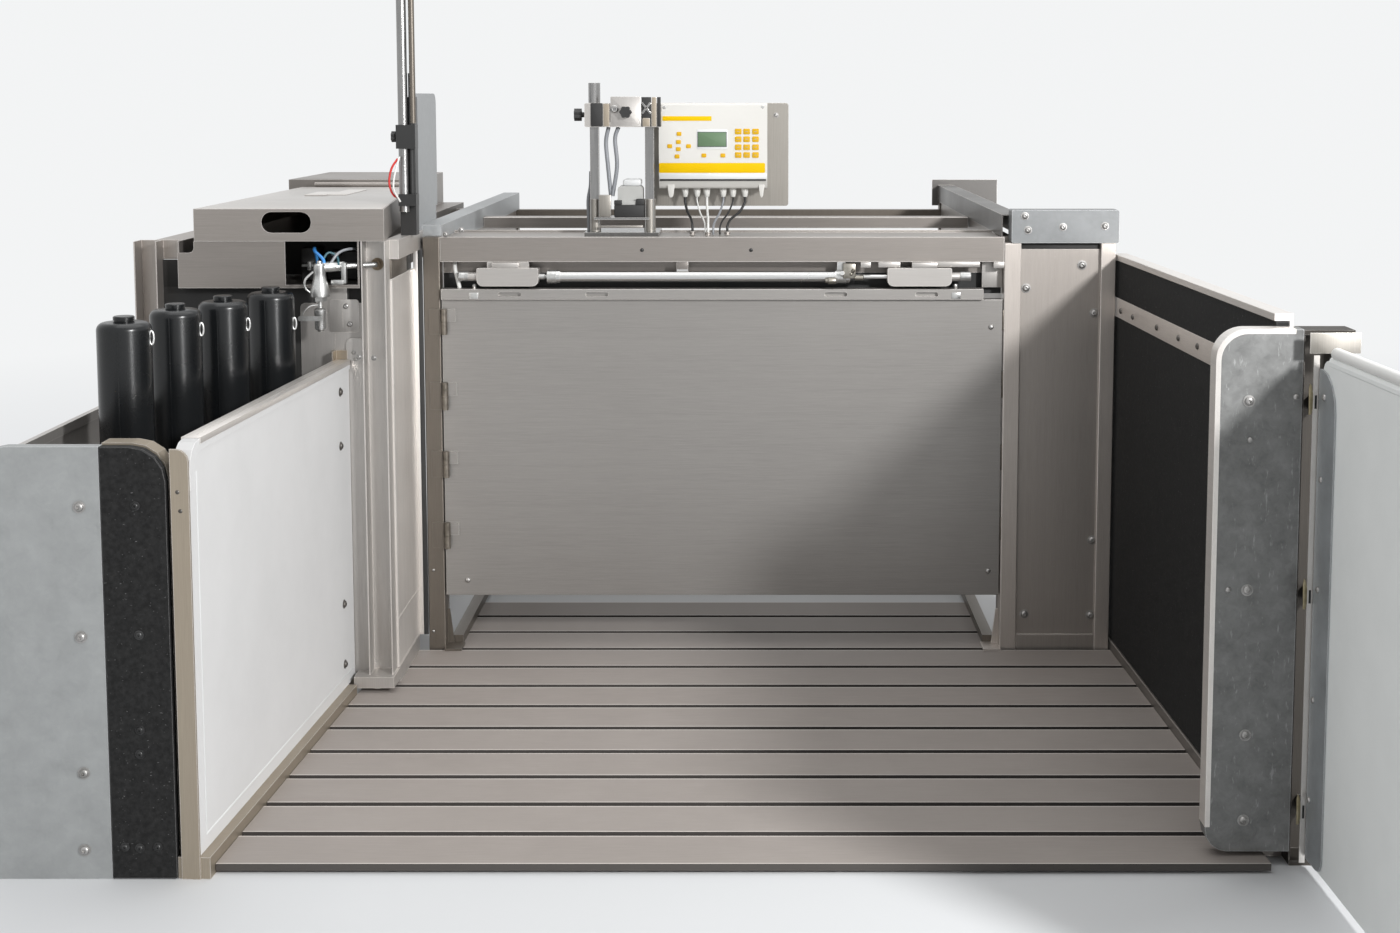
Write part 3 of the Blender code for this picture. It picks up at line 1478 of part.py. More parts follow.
place(
    "controller_box",
    joined(soft(slab("YZ", controller_profile, *CONTROLLER_X), 0.0030, 2), *glands),
    WHITE,
    at=(0, CONTROLLER_Y[1], CONTROLLER_Z[0]),
)
plate_y = (CONTROLLER_Y[1] + CLEAR, CONTROLLER_Y[1] + CLEAR + SHEET)
place(
    "controller_plate",
    slab("XZ", rectangle(PLATE_X, PLATE_Z, 0.008), *plate_y),
    BRUSHED,
    edge=0.0006,
)

half_post = STAND_POST / 2
post_y = (STAND_Y - half_post, STAND_Y + half_post)
stand_shapes = [
    box((POST_A_X - half_post, POST_A_X + half_post), post_y, (BASE_TOP - 0.001, CLAMP_Z[1] + 0.002)),
    box((POST_B_X - half_post, POST_B_X + half_post), post_y, (BASE_TOP - 0.001, CLAMP_Z[1] - 0.004)),
    box((POST_A_X, POST_B_X), (STAND_Y - 0.040, STAND_Y + 0.045), SHELF_Z),
    rod((POST_A_X, STAND_Y, CLAMP_Z[1] + CLEAR), (POST_A_X, STAND_Y, TOP_TUBE_TOP), TOP_TUBE_RADIUS, 16),
    box((POST_B_X - 0.010, POST_B_X - 0.004), (STAND_Y, plate_y[0] - CLEAR), (1.300, 1.330)),
    box((POST_B_X - 0.010, POST_B_X - 0.004), (STAND_Y, plate_y[0] - CLEAR), (1.385, 1.415)),
]
place(
    "stand_frame",
    joined(
        box(
            (POST_A_X - 0.025, POST_B_X + 0.027),
            (STAND_Y - 0.055, BEAM_DEEP - SHEET - 0.001),
            (BEAM_TOP + CLEAR, BASE_TOP),
        ),
        *stand_shapes,
    ),
    BRUSHED,
)
post_room = half_post + CLEAR
clamp_block = slab("XZ", rectangle(CLAMP_X, CLAMP_Z, 0.004), *CLAMP_Y)
waist = box(
    (POST_A_X + 0.028, POST_B_X - 0.028),
    (CLAMP_Y[0] - 0.001, CLAMP_Y[0] + 0.012),
    (CLAMP_Z[0] + 0.012, CLAMP_Z[1] + 0.001),
)
clamp_bores = [
    box(
        (x - post_room, x + post_room),
        (STAND_Y - post_room, STAND_Y + post_room),
        (CLAMP_Z[0] - 0.01, CLAMP_Z[1] + 0.01),
    )
    for x in (POST_A_X, POST_B_X)
]
place(
    "stand_clamp",
    cut(clamp_block, *clamp_bores, waist),
    BRUSHED,
    edge=0.0010,
)


def star_knob(axis, at, length):
    """A lobed knob on a short hub, standing out from at along the axis."""
    head = slab("XY", lobed(KNOB_RADIUS, KNOB_LOBES, 0.0035), 0.010, length)
    hub = rod((0, 0, 0), (0, 0, 0.012), 0.007, 12)
    knob = joined(head, hub)
    turn = Vector((0, 0, 1)).rotation_difference(Vector(axis)).to_matrix().to_4x4()
    knob.transform(Matrix.Translation(at) @ turn)
    return knob


knob_at = (CLAMP_X[0] - CLEAR, STAND_Y, 1.4525)
place("clamp_knob_side", star_knob((-1, 0, 0), knob_at, 0.030), BLACK_MATT, at=knob_at, edge=0.0010)
knob_at = ((POST_A_X + POST_B_X) / 2 + 0.013, CLAMP_Y[0] + 0.012 - CLEAR, 1.460)
place("clamp_knob_front", star_knob((0, -1, 0), knob_at, 0.034), BLACK_MATT, at=knob_at, edge=0.0010)

filter_x = (-0.290, -0.2125)
filter_cap = rectangle((filter_x[0] + 0.008, filter_x[1] - 0.002), (1.215, 1.262), 0.010)
place(
    "filter_box",
    joined(
        slab("XZ", rectangle(filter_x, (SHELF_Z[1] + CLEAR, 1.222), 0.004), STAND_Y - 0.035, STAND_Y + 0.040),
        slab("XZ", filter_cap, STAND_Y - 0.028, STAND_Y + 0.033),
    ),
    GREY_PLASTIC,
    edge=0.0012,
)


# Mast beside the cabinet

channel_z = (LEFT_POST_TOP + CLEAR, MAST_CHANNEL_TOP)
block_x = (MAST_TUBE_AT[0] - 0.0153, MAST_TUBE_AT[0] + 0.0335)
block_y = (MAST_TUBE_AT[1] - 0.020, MAST_CHANNEL_Y[0] + 0.001)
fixed_rod_x = MAST_TUBE_AT[0] + 0.021
fixed_rod_y = MAST_TUBE_AT[1] + 0.002
mast_channel = joined(
    box(MAST_CHANNEL_X, MAST_CHANNEL_Y, channel_z),
    box(block_x, block_y, MAST_BLOCK_Z),
    box((block_x[0] + 0.004, block_x[1]), block_y, (1.225, 1.255)),
    rod((fixed_rod_x, fixed_rod_y, 1.228), (fixed_rod_x, fixed_rod_y, 1.560), 0.007, 12),
)
place(
    "mast_channel",
    cut(
        mast_channel,
        rod((*MAST_TUBE_AT, 1.100), (*MAST_TUBE_AT, 1.600), MAST_TUBE_RADIUS + MAST_PLAY, 20),
    ),
    BLACK_MATT,
    edge=0.0,
)


def tube_ring(radius):
    """The mast tube's outline at a radius."""
    angles = [step * math.pi / 10 for step in range(20)]
    return [(MAST_TUBE_AT[0] + radius * math.cos(a), MAST_TUBE_AT[1] + radius * math.sin(a)) for a in angles]


place(
    "mast_tube",
    slab(
        "XY",
        tube_ring(MAST_TUBE_RADIUS),
        *MAST_TUBE_Z,
        holes=[tube_ring(MAST_TUBE_RADIUS - MAST_TUBE_WALL)],
    ),
    BRUSHED,
    at=(*MAST_TUBE_AT, MAST_TUBE_Z[0]),
)
knob_at = (block_x[0] - CLEAR, MAST_TUBE_AT[1], sum(MAST_BLOCK_Z) / 2)
mast_knob = joined(
    slab("XY", lobed(0.014, KNOB_LOBES, 0.003), 0.004, 0.014),
    rod((0, 0, 0), (0, 0, 0.006), 0.006, 12),
)
knob_turn = Vector((0, 0, 1)).rotation_difference(Vector((-1, 0, 0))).to_matrix().to_4x4()
mast_knob.transform(Matrix.Translation(knob_at) @ knob_turn)
place("mast_knob", mast_knob, BLACK_MATT, at=knob_at, edge=0.0008)

plate_x = (-RAIL_OUTER - CLEAR - SHEET, -RAIL_OUTER - CLEAR)
mast_plate_front = MAST_CHANNEL_Y[1] + CLEAR
place(
    "mast_plate",
    slab(
        "YZ",
        rounded(
            [
                (mast_plate_front, LEFT_POST_TOP + 2 * CLEAR, 0),
                (0.060, LEFT_POST_TOP + 2 * CLEAR, 0),
                (0.060, 1.108, 0.006),
                (0.280, 1.108, 0.006),
                (0.280, 1.200, 0),
                (MAST_PLATE_REAR, 1.200, 0.010),
                (MAST_PLATE_REAR, MAST_PLATE_TOP, 0.030),
                (mast_plate_front, MAST_PLATE_TOP, 0.012),
            ]
        ),
        *plate_x,
    ),
    GALVANISED,
    edge=0.0008,
)


# Cables from the glands to the grommets on the beam

gland_end = CONTROLLER_Z[0] - GLAND_LENGTH - CLEAR
for name, gland_x, end_x, end_y in CABLES:
    route = smooth_route(
        [
            (gland_x, GLAND_Y, gland_end),
            (gland_x, GLAND_Y, gland_end - 0.014),
            (gland_x + (end_x - gland_x) * 0.30, GLAND_Y - 0.012, gland_end - 0.040),
            (gland_x + (end_x - gland_x) * 0.80, (GLAND_Y + end_y) / 2 - 0.004, GROMMET_TOP + 0.032),
            (end_x, end_y, GROMMET_TOP + 0.014),
            (end_x, end_y, GROMMET_TOP + CLEAR),
        ],
        3 * CABLE_RADIUS,
    )
    route[1] = Vector((gland_x, GLAND_Y, route[1].z))
    route[-2] = Vector((end_x, end_y, route[-2].z))
    look = WHITE if name == "cable_white" else BLACK_MATT
    place(name, tube(route, CABLE_RADIUS), look)
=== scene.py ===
# %% [markdown]
# A pig sorting station. Pigs walk over a slatted floor between two splayed walls to a stainless gate,
# stand in the weighing crate behind it, and an air cylinder under the beam locks the gate.
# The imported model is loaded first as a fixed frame. Its solids keep their place and shape: this file
# gives them their finishes and adds what the solids leave out, such as bolts, keys, hoses and trim.

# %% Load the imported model
import math

import bmesh
import bpy
from mathutils import Matrix, Vector


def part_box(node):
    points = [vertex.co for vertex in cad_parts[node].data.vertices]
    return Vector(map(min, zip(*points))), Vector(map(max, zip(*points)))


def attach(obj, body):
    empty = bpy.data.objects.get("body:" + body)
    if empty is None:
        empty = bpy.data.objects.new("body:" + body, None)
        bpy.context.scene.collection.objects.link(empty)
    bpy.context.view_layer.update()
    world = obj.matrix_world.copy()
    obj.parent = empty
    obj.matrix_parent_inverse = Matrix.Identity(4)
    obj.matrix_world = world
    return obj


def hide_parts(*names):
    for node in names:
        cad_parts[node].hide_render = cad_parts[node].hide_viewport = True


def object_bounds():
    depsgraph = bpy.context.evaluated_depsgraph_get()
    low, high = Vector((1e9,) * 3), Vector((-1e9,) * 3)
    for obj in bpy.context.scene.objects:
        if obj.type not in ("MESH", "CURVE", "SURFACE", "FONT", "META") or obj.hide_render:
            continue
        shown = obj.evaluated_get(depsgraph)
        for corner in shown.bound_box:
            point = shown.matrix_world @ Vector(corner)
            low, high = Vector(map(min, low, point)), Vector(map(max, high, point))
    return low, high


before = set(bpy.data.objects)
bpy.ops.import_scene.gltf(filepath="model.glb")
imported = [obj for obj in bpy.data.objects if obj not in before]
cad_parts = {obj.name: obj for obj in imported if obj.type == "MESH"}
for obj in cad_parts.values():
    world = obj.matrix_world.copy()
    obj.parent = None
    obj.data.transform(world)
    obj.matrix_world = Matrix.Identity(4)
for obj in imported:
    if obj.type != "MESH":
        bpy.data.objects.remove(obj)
cad_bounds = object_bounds()
pieces = bpy.data.collections.new("station_pieces")
bpy.context.scene.collection.children.link(pieces)
print("nodes in the frame:", len(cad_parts))

# %% [markdown]
# The photograph was taken a little above the walls, 4.7 m in front of the gate, looking 5.5 degrees down.
# The view is cropped off centre, so the lens is shifted instead of turned: upright posts stay parallel.

# %% Camera
IMAGE_WIDTH = 1400
FOCAL_PIXELS = 1800
CENTRE_PIXEL = (748.0, 270.3)
camera_data = bpy.data.cameras.new("station_camera")
camera = bpy.data.objects.new("station_camera", camera_data)
camera.location = (0.0685, -4.73, 1.5)
camera.rotation_euler = (math.radians(84.5), 0, 0)
camera_data.sensor_width = 36
camera_data.lens = 46.286
camera_data.shift_x = -0.0343
camera_data.shift_y = -0.1401
camera_data.clip_end = 200
bpy.context.scene.collection.objects.link(camera)
bpy.context.scene.camera = camera
print("camera focal length in pixels:", round(camera_data.lens / 36 * IMAGE_WIDTH))


# %% [markdown]
# Bolts and seams are easiest to place at listed pixels: a ray leaves the camera through a pixel of the
# photograph and stops at the plane of the sheet that carries the piece, so every bolt sits on its sheet.

# %% Sight lines
def seen_on(pixel, point, normal):
    """The point of a plane that the camera sees at this pixel of the 1400 x 933 photograph."""
    across = (pixel[0] - CENTRE_PIXEL[0]) / FOCAL_PIXELS
    down = (pixel[1] - CENTRE_PIXEL[1]) / FOCAL_PIXELS
    ray = camera.rotation_euler.to_matrix() @ Vector((across, -down, -1))
    eye = Vector(camera.location)
    normal = Vector(normal)
    return eye + ray * ((Vector(point) - eye).dot(normal) / ray.dot(normal))


TOWARDS_VIEWER = Vector((0, -1, 0))


def front(y):
    """The plane at depth y that faces the viewer, as a point and a normal."""
    return (0, y, 0), TOWARDS_VIEWER


print("the middle of the gate's face:", [round(value, 3) for value in seen_on((724, 450), *front(0.0015))])

# %% [markdown]
# Each of the walls and the side door stands at a slight angle. These matrices are their own frames,
# the same as in the solids: along their own Y they run from their rear or hinge end towards the viewer.

# %% Turned frames
def turned_frame(x, y, degrees):
    return Matrix.Translation((x, y, 0)) @ Matrix.Rotation(math.radians(degrees), 4, "Z")


LEFT_WALL = turned_frame(-0.920, -0.305, -3.4)
RIGHT_WALL = turned_frame(1.041, 0.053, 1.75)
SIDE_DOOR = turned_frame(1.166, -1.352, 1.5)
LEFT_FACE_NORMAL = LEFT_WALL.to_3x3() @ Vector((1, 0, 0))
RIGHT_FACE_NORMAL = RIGHT_WALL.to_3x3() @ Vector((-1, 0, 0))
DOOR_FACE_NORMAL = SIDE_DOOR.to_3x3() @ Vector((-1, 0, 0))
print("left wall leans", round(math.degrees(LEFT_FACE_NORMAL.angle(Vector((1, 0, 0)))), 2), "degrees")

# %% [markdown]
# Materials are node trees. Small helpers keep them readable: one adds a node and fills its sockets, the
# others mix two colours, stretch a value between two limits, calculate, or make a noise.

# %% Node helpers
def node(tree, kind, inputs=None, **settings):
    """Adds a node; inputs maps a socket's name or number to a value or to another node's output."""
    made = tree.nodes.new(kind)
    for name, value in settings.items():
        setattr(made, name, value)
    for socket, value in (inputs or {}).items():
        if isinstance(value, bpy.types.NodeSocket):
            tree.links.new(value, made.inputs[socket])
        else:
            made.inputs[socket].default_value = value
    return made


def mix(tree, factor, first, second):
    """A colour between two colours."""
    inputs = {0: factor}
    for socket, colour in ((6, first), (7, second)):
        inputs[socket] = colour if isinstance(colour, bpy.types.NodeSocket) else (*colour[:3], 1)
    return node(tree, "ShaderNodeMix", inputs, data_type="RGBA").outputs[2]


def between(tree, value, low, high, out_low=0.0, out_high=1.0):
    """The value's place between low and high, clamped."""
    inputs = {"Value": value, "From Min": low, "From Max": high, "To Min": out_low, "To Max": out_high}
    return node(tree, "ShaderNodeMapRange", inputs, clamp=True).outputs["Result"]


def maths(tree, operation, first, second=0.0):
    return node(tree, "ShaderNodeMath", {0: first, 1: second}, operation=operation).outputs[0]


def times(tree, first, second):
    return maths(tree, "MULTIPLY", first, second)


def vector_maths(tree, operation, first, second=(0, 0, 0), output=0):
    return node(tree, "ShaderNodeVectorMath", {0: first, 1: second}, operation=operation).outputs[output]


def noise(tree, vector, scale, detail, roughness=0.5, output="Fac"):
    inputs = {"Vector": vector, "Scale": scale, "Detail": detail, "Roughness": roughness}
    return node(tree, "ShaderNodeTexNoise", inputs).outputs[output]


def cells_of(tree, vector, scale):
    """Voronoi cells: their distances and the three random numbers of each cell."""
    cells = node(tree, "ShaderNodeTexVoronoi", {"Vector": vector, "Scale": scale}, feature="F1").outputs
    return cells["Distance"], node(tree, "ShaderNodeSeparateColor", {0: cells["Color"]}).outputs


def place_of(tree):
    return node(tree, "ShaderNodeTexCoord").outputs["Object"]


def new_group(name, inputs, outputs):
    """An empty shader group: inputs are (name, socket type, value), outputs are names of values."""
    group = bpy.data.node_groups.new(name, "ShaderNodeTree")
    for label, kind, value in inputs:
        socket = group.interface.new_socket(name=label, in_out="INPUT", socket_type="NodeSocket" + kind)
        socket.default_value = value
    for label in outputs:
        group.interface.new_socket(name=label, in_out="OUTPUT", socket_type="NodeSocketFloat")
    return group, node(group, "NodeGroupInput").outputs


def close_group(group, **values):
    """Joins values to the group's outputs."""
    end = node(group, "NodeGroupOutput")
    for label, value in values.items():
        group.links.new(value, end.inputs[label])
    print("group", group.name, "has", len(group.nodes), "nodes")


def use(tree, group, **values):
    """Places a group in a tree with its own values; an underscore in a name stands for a space."""
    made = tree.nodes.new("ShaderNodeGroup")
    made.node_tree = group
    for label, value in values.items():
        made.inputs[label.replace("_", " ")].default_value = value
    return made.outputs


# %% [markdown]
# Brushed stainless has fine lines in the direction in which the sheet was rolled and ground. The group
# stretches a noise along one axis: a stretch of (1, 60, 60) gives long lines along X. It gives the fine
# lines and a broader banding of the same direction.

# %% Group: brushed grain
grain_group, given = new_group("brushed_grain", [("Stretch", "Vector", (2.0, 60.0, 60.0))], ("Lines", "Bands"))
stretched = vector_maths(grain_group, "MULTIPLY", place_of(grain_group), given["Stretch"])
lines = between(grain_group, noise(grain_group, stretched, 14.0, 4.0, 0.65), 0.3, 0.7)
bands = between(grain_group, noise(grain_group, stretched, 1.3, 2.0), 0.3, 0.7)
close_group(grain_group, Lines=lines, Bands=bands)

# %% [markdown]
# Sheets that people and pigs touch are never even: hands and hoses leave broad dull patches and small
# specks of dried water. Two noises at very different sizes give both.

# %% Group: smudges
smudge_inputs = [("Patch Scale", "Float", 3.0), ("Speck Scale", "Float", 90.0)]
smudge_group, given = new_group("smudges", smudge_inputs, ("Patches", "Specks"))
patches = noise(smudge_group, place_of(smudge_group), given["Patch Scale"], 5.0, 0.6)
specks = noise(smudge_group, place_of(smudge_group), given["Speck Scale"], 2.0, 0.6)
patches, specks = between(smudge_group, patches, 0.35, 0.68), between(smudge_group, specks, 0.66, 0.74)
close_group(smudge_group, Patches=patches, Specks=specks)

# %% [markdown]
# Edges get a painted highlight, as a slightly rounded edge would catch the light. The Bevel node gives the
# normal of a slightly rounded edge; where it differs from the surface's own normal, there is an edge.

# %% Group: painted edge highlight
edge_highlight_group, given = new_group("edges", [("Width", "Float", 0.0015)], ("Edge",))
bevelled = node(edge_highlight_group, "ShaderNodeBevel", {"Radius": given["Width"]}, samples=4).outputs["Normal"]
surface_normal = node(edge_highlight_group, "ShaderNodeNewGeometry").outputs["Normal"]
agreement = vector_maths(edge_highlight_group, "DOT_PRODUCT", bevelled, surface_normal, "Value")
close_group(edge_highlight_group, Edge=between(edge_highlight_group, agreement, 0.995, 0.86))

# %% [markdown]
# Hot-dip galvanised sheet is zinc crystals: cells of slightly different grey, with cloudy stains over
# them. Voronoi cells give the crystals and a noise the clouds.

# %% Group: zinc crystals
zinc_inputs = [("Crystal Scale", "Float", 60.0), ("Cloud Scale", "Float", 6.0)]
zinc_group, given = new_group("zinc_crystals", zinc_inputs, ("Crystals", "Clouds"))
warp = noise(zinc_group, place_of(zinc_group), 30.0, 3.0, output="Color")
warped = vector_maths(zinc_group, "MULTIPLY", warp, (0.03, 0.03, 0.03))
moved = vector_maths(zinc_group, "ADD", place_of(zinc_group), warped)
crystal_tones = cells_of(zinc_group, moved, given["Crystal Scale"])[1]
clouds = noise(zinc_group, moved, given["Cloud Scale"], 6.0, 0.62)
close_group(zinc_group, Crystals=crystal_tones[0], Clouds=between(zinc_group, clouds, 0.33, 0.67))


# %% [markdown]
# The finishes. Stainless sheet has one mean tone and a tint, which is warmer where the sheet is old or
# stands in brown light. Its colour, roughness and height all follow the same grain, and its edges get a
# painted highlight, so one function makes every stainless finish from those few numbers.

# %% Stainless finishes
def new_finish(name):
    finish = bpy.data.materials.new(name)
    finish.use_nodes = True
    return finish, finish.node_tree, finish.node_tree.nodes["Principled BSDF"]


def connect(tree, surface, colour, roughness=None, height=None, strength=0.3, distance=0.0006):
    """Joins a colour, a roughness and a bump height to the material's surface."""
    tree.links.new(colour, surface.inputs["Base Color"])
    if roughness is not None:
        tree.links.new(roughness, surface.inputs["Roughness"])
    if height is not None:
        bump = node(tree, "ShaderNodeBump", {"Height": height, "Strength": strength, "Distance": distance})
        tree.links.new(bump.outputs["Normal"], surface.inputs["Normal"])


NEUTRAL = (1.0, 0.955, 0.91)
WARM = (1.0, 0.915, 0.845)
BROWN = (1.0, 0.875, 0.74)
COOL = (0.955, 0.985, 1.0)


def tinted(tone, tint):
    return tuple(min(1.0, tone * part) for part in tint)


def stainless(name, stretch, tone, tint=NEUTRAL, contrast=0.12, metallic=0.75, roughness=0.36, rim=0.0022, edge_highlight_strength=0.85):
    finish, tree, surface = new_finish("stainless_" + name)
    dark, light = tinted(tone * (1 - contrast), tint), tinted(tone * (1 + contrast), tint)
    grain = use(tree, grain_group, Stretch=stretch)
    marks = use(tree, smudge_group, Patch_Scale=2.6, Speck_Scale=120.0)
    edge = use(tree, edge_highlight_group, Width=rim)["Edge"]
    colour = mix(tree, grain["Lines"], dark, light)
    colour = mix(tree, times(tree, grain["Bands"], 0.45), colour, light)
    colour = mix(tree, times(tree, marks["Patches"], 0.35), colour, dark)
    colour = mix(tree, times(tree, marks["Specks"], 0.35), colour, light)
    # painted highlight along the edges: the edge mask mixes the colour towards pale grey
    colour = mix(tree, times(tree, edge, edge_highlight_strength), colour, tinted(0.88, NEUTRAL))
    rough = between(tree, marks["Patches"], 0.0, 1.0, roughness, roughness + 0.10)
    surface.inputs["Metallic"].default_value = metallic
    connect(tree, surface, colour, rough, grain["Lines"], 0.06, 0.0004)
    return finish


ALONG_X = (1.0, 60.0, 60.0)
ALONG_Y = (60.0, 1.0, 60.0)
ALONG_Z = (60.0, 60.0, 1.0)
gate_steel = stainless("gate", ALONG_X, 0.300, edge_highlight_strength=0.45)
rail_steel = stainless("guide_rail", ALONG_X, 0.33)
beam_steel = stainless("beam", ALONG_X, 0.275, WARM, rim=0.004)
left_post_steel = stainless("left_post", ALONG_Z, 0.150, BROWN, 0.16, rim=0.0025, edge_highlight_strength=0.10)
# The hinge post's very dark tone is painted shade.
hinge_post_steel_painted_shade = stainless("hinge_post", ALONG_Z, 0.040, BROWN, 0.30, 0.5, 0.50, rim=0.0015, edge_highlight_strength=0.30)
right_post_steel = stainless("right_post", ALONG_Z, 0.51, WARM, 0.16, rim=0.004)
# The corner post's and side panel's light tones are painted light, lifting the shade that the lamps leave on them.
corner_steel_painted_light = stainless("corner", ALONG_Z, 0.50, NEUTRAL, rim=0.003)
side_panel_steel_painted_light = stainless("side_panel", ALONG_Z, 0.74, NEUTRAL)
infill_steel = stainless("infill", ALONG_Z, 0.365, WARM)
cabinet_steel = stainless("cabinet", ALONG_X, 0.262, WARM)
lid_steel = stainless("lid", ALONG_X, 0.30, WARM)
wall_end_steel = stainless("wall_end", ALONG_Z, 0.36, (1.0, 0.86, 0.68))
strip_steel = stainless("strip", ALONG_Y, 0.68, WARM, metallic=0.55)
trim_steel = stainless("trim", ALONG_Y, 0.76, NEUTRAL, 0.10, 0.7, 0.28)
deep_steel = stainless("deep", ALONG_Y, 0.235, WARM)
right_rail_steel = stainless("right_rail", ALONG_Y, 0.130, NEUTRAL)
bracket_steel = stainless("bracket", ALONG_Z, 0.46)
housing_steel = stainless("housing", ALONG_X, 0.44, NEUTRAL, 0.08, rim=0.0035)
plate_steel = stainless("plate", ALONG_Z, 0.30, (1.0, 0.94, 0.85))
bright_steel = stainless("bright", ALONG_X, 0.60, (1.0, 1.0, 0.99), 0.14, 0.95, 0.20)
tube_steel = stainless("tube", ALONG_Z, 0.27, (1.0, 0.99, 0.98), 0.30, 0.95, 0.22)
crate_steel = stainless("crate", ALONG_Y, 0.28, WARM)
lid_top_steel = stainless("lid_top", ALONG_X, 0.50, NEUTRAL, 0.10, 0.7, 0.30, 0.003)
print("stainless finishes:", len([m for m in bpy.data.materials if m.name.startswith("stainless")]))

# %% [markdown]
# Galvanised sheet is cooler and paler than the stainless, and cloudy. The end plate of the right wall is
# scratched and blotchier than the rest, so a second, streaked noise runs over its clouds.

# %% Galvanised finishes
def galvanised(name, tone, tint, contrast, crystal_scale, cloud_scale, scratches=0.0):
    finish, tree, surface = new_finish("galvanised_" + name)
    dark, light = tinted(tone * (1 - contrast), tint), tinted(tone * (1 + contrast), tint)
    zinc = use(tree, zinc_group, Crystal_Scale=crystal_scale, Cloud_Scale=cloud_scale)
    edge = use(tree, edge_highlight_group, Width=0.0020)["Edge"]
    colour = mix(tree, zinc["Clouds"], dark, light)
    fine_clouds = use(tree, zinc_group, Crystal_Scale=crystal_scale * 2, Cloud_Scale=cloud_scale * 5)["Clouds"]
    colour = mix(tree, times(tree, fine_clouds, 0.35), colour, light)
    colour = mix(tree, times(tree, zinc["Crystals"], 0.22), colour, dark)
    if scratches:
        streaks = use(tree, grain_group, Stretch=(9.0, 9.0, 2.2))["Lines"]
        colour = mix(tree, between(tree, streaks, 0.80, 1.0, 0.0, scratches), colour, tinted(tone * 2.2, tint))
    # painted highlight along the edges
    colour = mix(tree, times(tree, edge, 0.75), colour, (0.82, 0.83, 0.84))
    surface.inputs["Metallic"].default_value = 0.45
    rough = between(tree, zinc["Clouds"], 0.0, 1.0, 0.42, 0.58)
    connect(tree, surface, colour, rough, zinc["Crystals"], 0.05, 0.0004)
    return finish


bay_zinc = galvanised("bay", 0.325, (0.97, 1.0, 1.0), 0.11, 110.0, 16.0)
plate_zinc = galvanised("blotched", 0.185, (0.99, 1.0, 0.985), 0.30, 90.0, 24.0, 0.5)
rail_zinc = galvanised("rail", 0.355, COOL, 0.12, 80.0, 11.0)
header_zinc = galvanised("header", 0.225, COOL, 0.16, 80.0, 11.0)
door_zinc = galvanised("door", 0.33, (0.92, 0.97, 1.0), 0.18, 80.0, 9.0)
print("galvanised finishes:", len([m for m in bpy.data.materials if m.name.startswith("galvanised")]))

# %% [markdown]
# The floor boards are ribbed composite, brown-grey and dull. Each board has its own tone, from a random
# value of its row number, and fine ribs along its length. A pale line beside each gap is a painted highlight
# on the boards' rounded long edges, mixed from the place within the row; the edge group would miss such a wide
# line. Painted shade darkens the boards towards the gate, and dirt and painted shade darken their upright faces.

# %% Floor boards
BOARD_PITCH = 0.1529
BOARD_HALF_GAP = 0.010
EDGE_HIGHLIGHT_WIDTH = 0.0045
board_finish, tree, surface = new_finish("floor_board")
position = node(tree, "ShaderNodeSeparateXYZ", {0: place_of(tree)}).outputs
along_rows = maths(tree, "DIVIDE", position["Y"], BOARD_PITCH)
row = maths(tree, "FLOOR", along_rows)
row_tone = node(tree, "ShaderNodeTexWhiteNoise", {"W": row}, noise_dimensions="1D").outputs["Value"]
within = maths(tree, "SUBTRACT", along_rows, row)
from_middle = maths(tree, "ABSOLUTE", maths(tree, "SUBTRACT", within, 0.5))
edge_place = 0.5 - BOARD_HALF_GAP / BOARD_PITCH
near_edge = between(tree, from_middle, edge_place - EDGE_HIGHLIGHT_WIDTH / BOARD_PITCH, edge_place - 0.012)
rib_inputs = {"Vector": place_of(tree), "Scale": 70.0, "Distortion": 0.4, "Detail": 1.0}
ribs = node(tree, "ShaderNodeTexWave", rib_inputs, wave_type="BANDS", bands_direction="Y").outputs["Fac"]
board_grain = use(tree, grain_group, Stretch=(1.0, 40.0, 40.0))
board_marks = use(tree, smudge_group, Patch_Scale=4.0, Speck_Scale=150.0)
colour = mix(tree, board_grain["Lines"], (0.235, 0.208, 0.190), (0.325, 0.292, 0.270))
colour = mix(tree, times(tree, row_tone, 0.45), colour, (0.330, 0.302, 0.280))
colour = mix(tree, times(tree, board_marks["Patches"], 0.25), colour, (0.205, 0.182, 0.166))
colour = mix(tree, times(tree, ribs, 0.10), colour, (0.23, 0.205, 0.185))
# painted highlight on each board's rounded long edges
board_edge_highlight = times(tree, near_edge, between(tree, board_grain["Bands"], 0.0, 0.6, 0.45, 0.85))
# painted shade: darker towards and under the gate
colour = mix(tree, between(tree, position["Y"], -0.30, 0.30, 0.0, 0.34), colour, (0.115, 0.100, 0.090))
colour = mix(tree, board_edge_highlight, colour, (0.66, 0.62, 0.58))
true_normal = node(tree, "ShaderNodeNewGeometry").outputs["True Normal"]
upwards = maths(tree, "ABSOLUTE", node(tree, "ShaderNodeSeparateXYZ", {0: true_normal}).outputs["Z"])
# dirt and painted shade on the boards' upright faces
colour = mix(tree, between(tree, upwards, 0.7, 0.3), colour, (0.050, 0.044, 0.040))
connect(tree, surface, colour, between(tree, board_grain["Lines"], 0.0, 1.0, 0.50, 0.66), ribs, 0.25, 0.0006)
print("board rows:", len(range(-9, 3)))

# %% [markdown]
# White plastic panels are very slightly yellow-grey, with faint long marks. Recycled black plastic is
# matt with short pale fibres pressed into it, so its flecks are part of the colour.

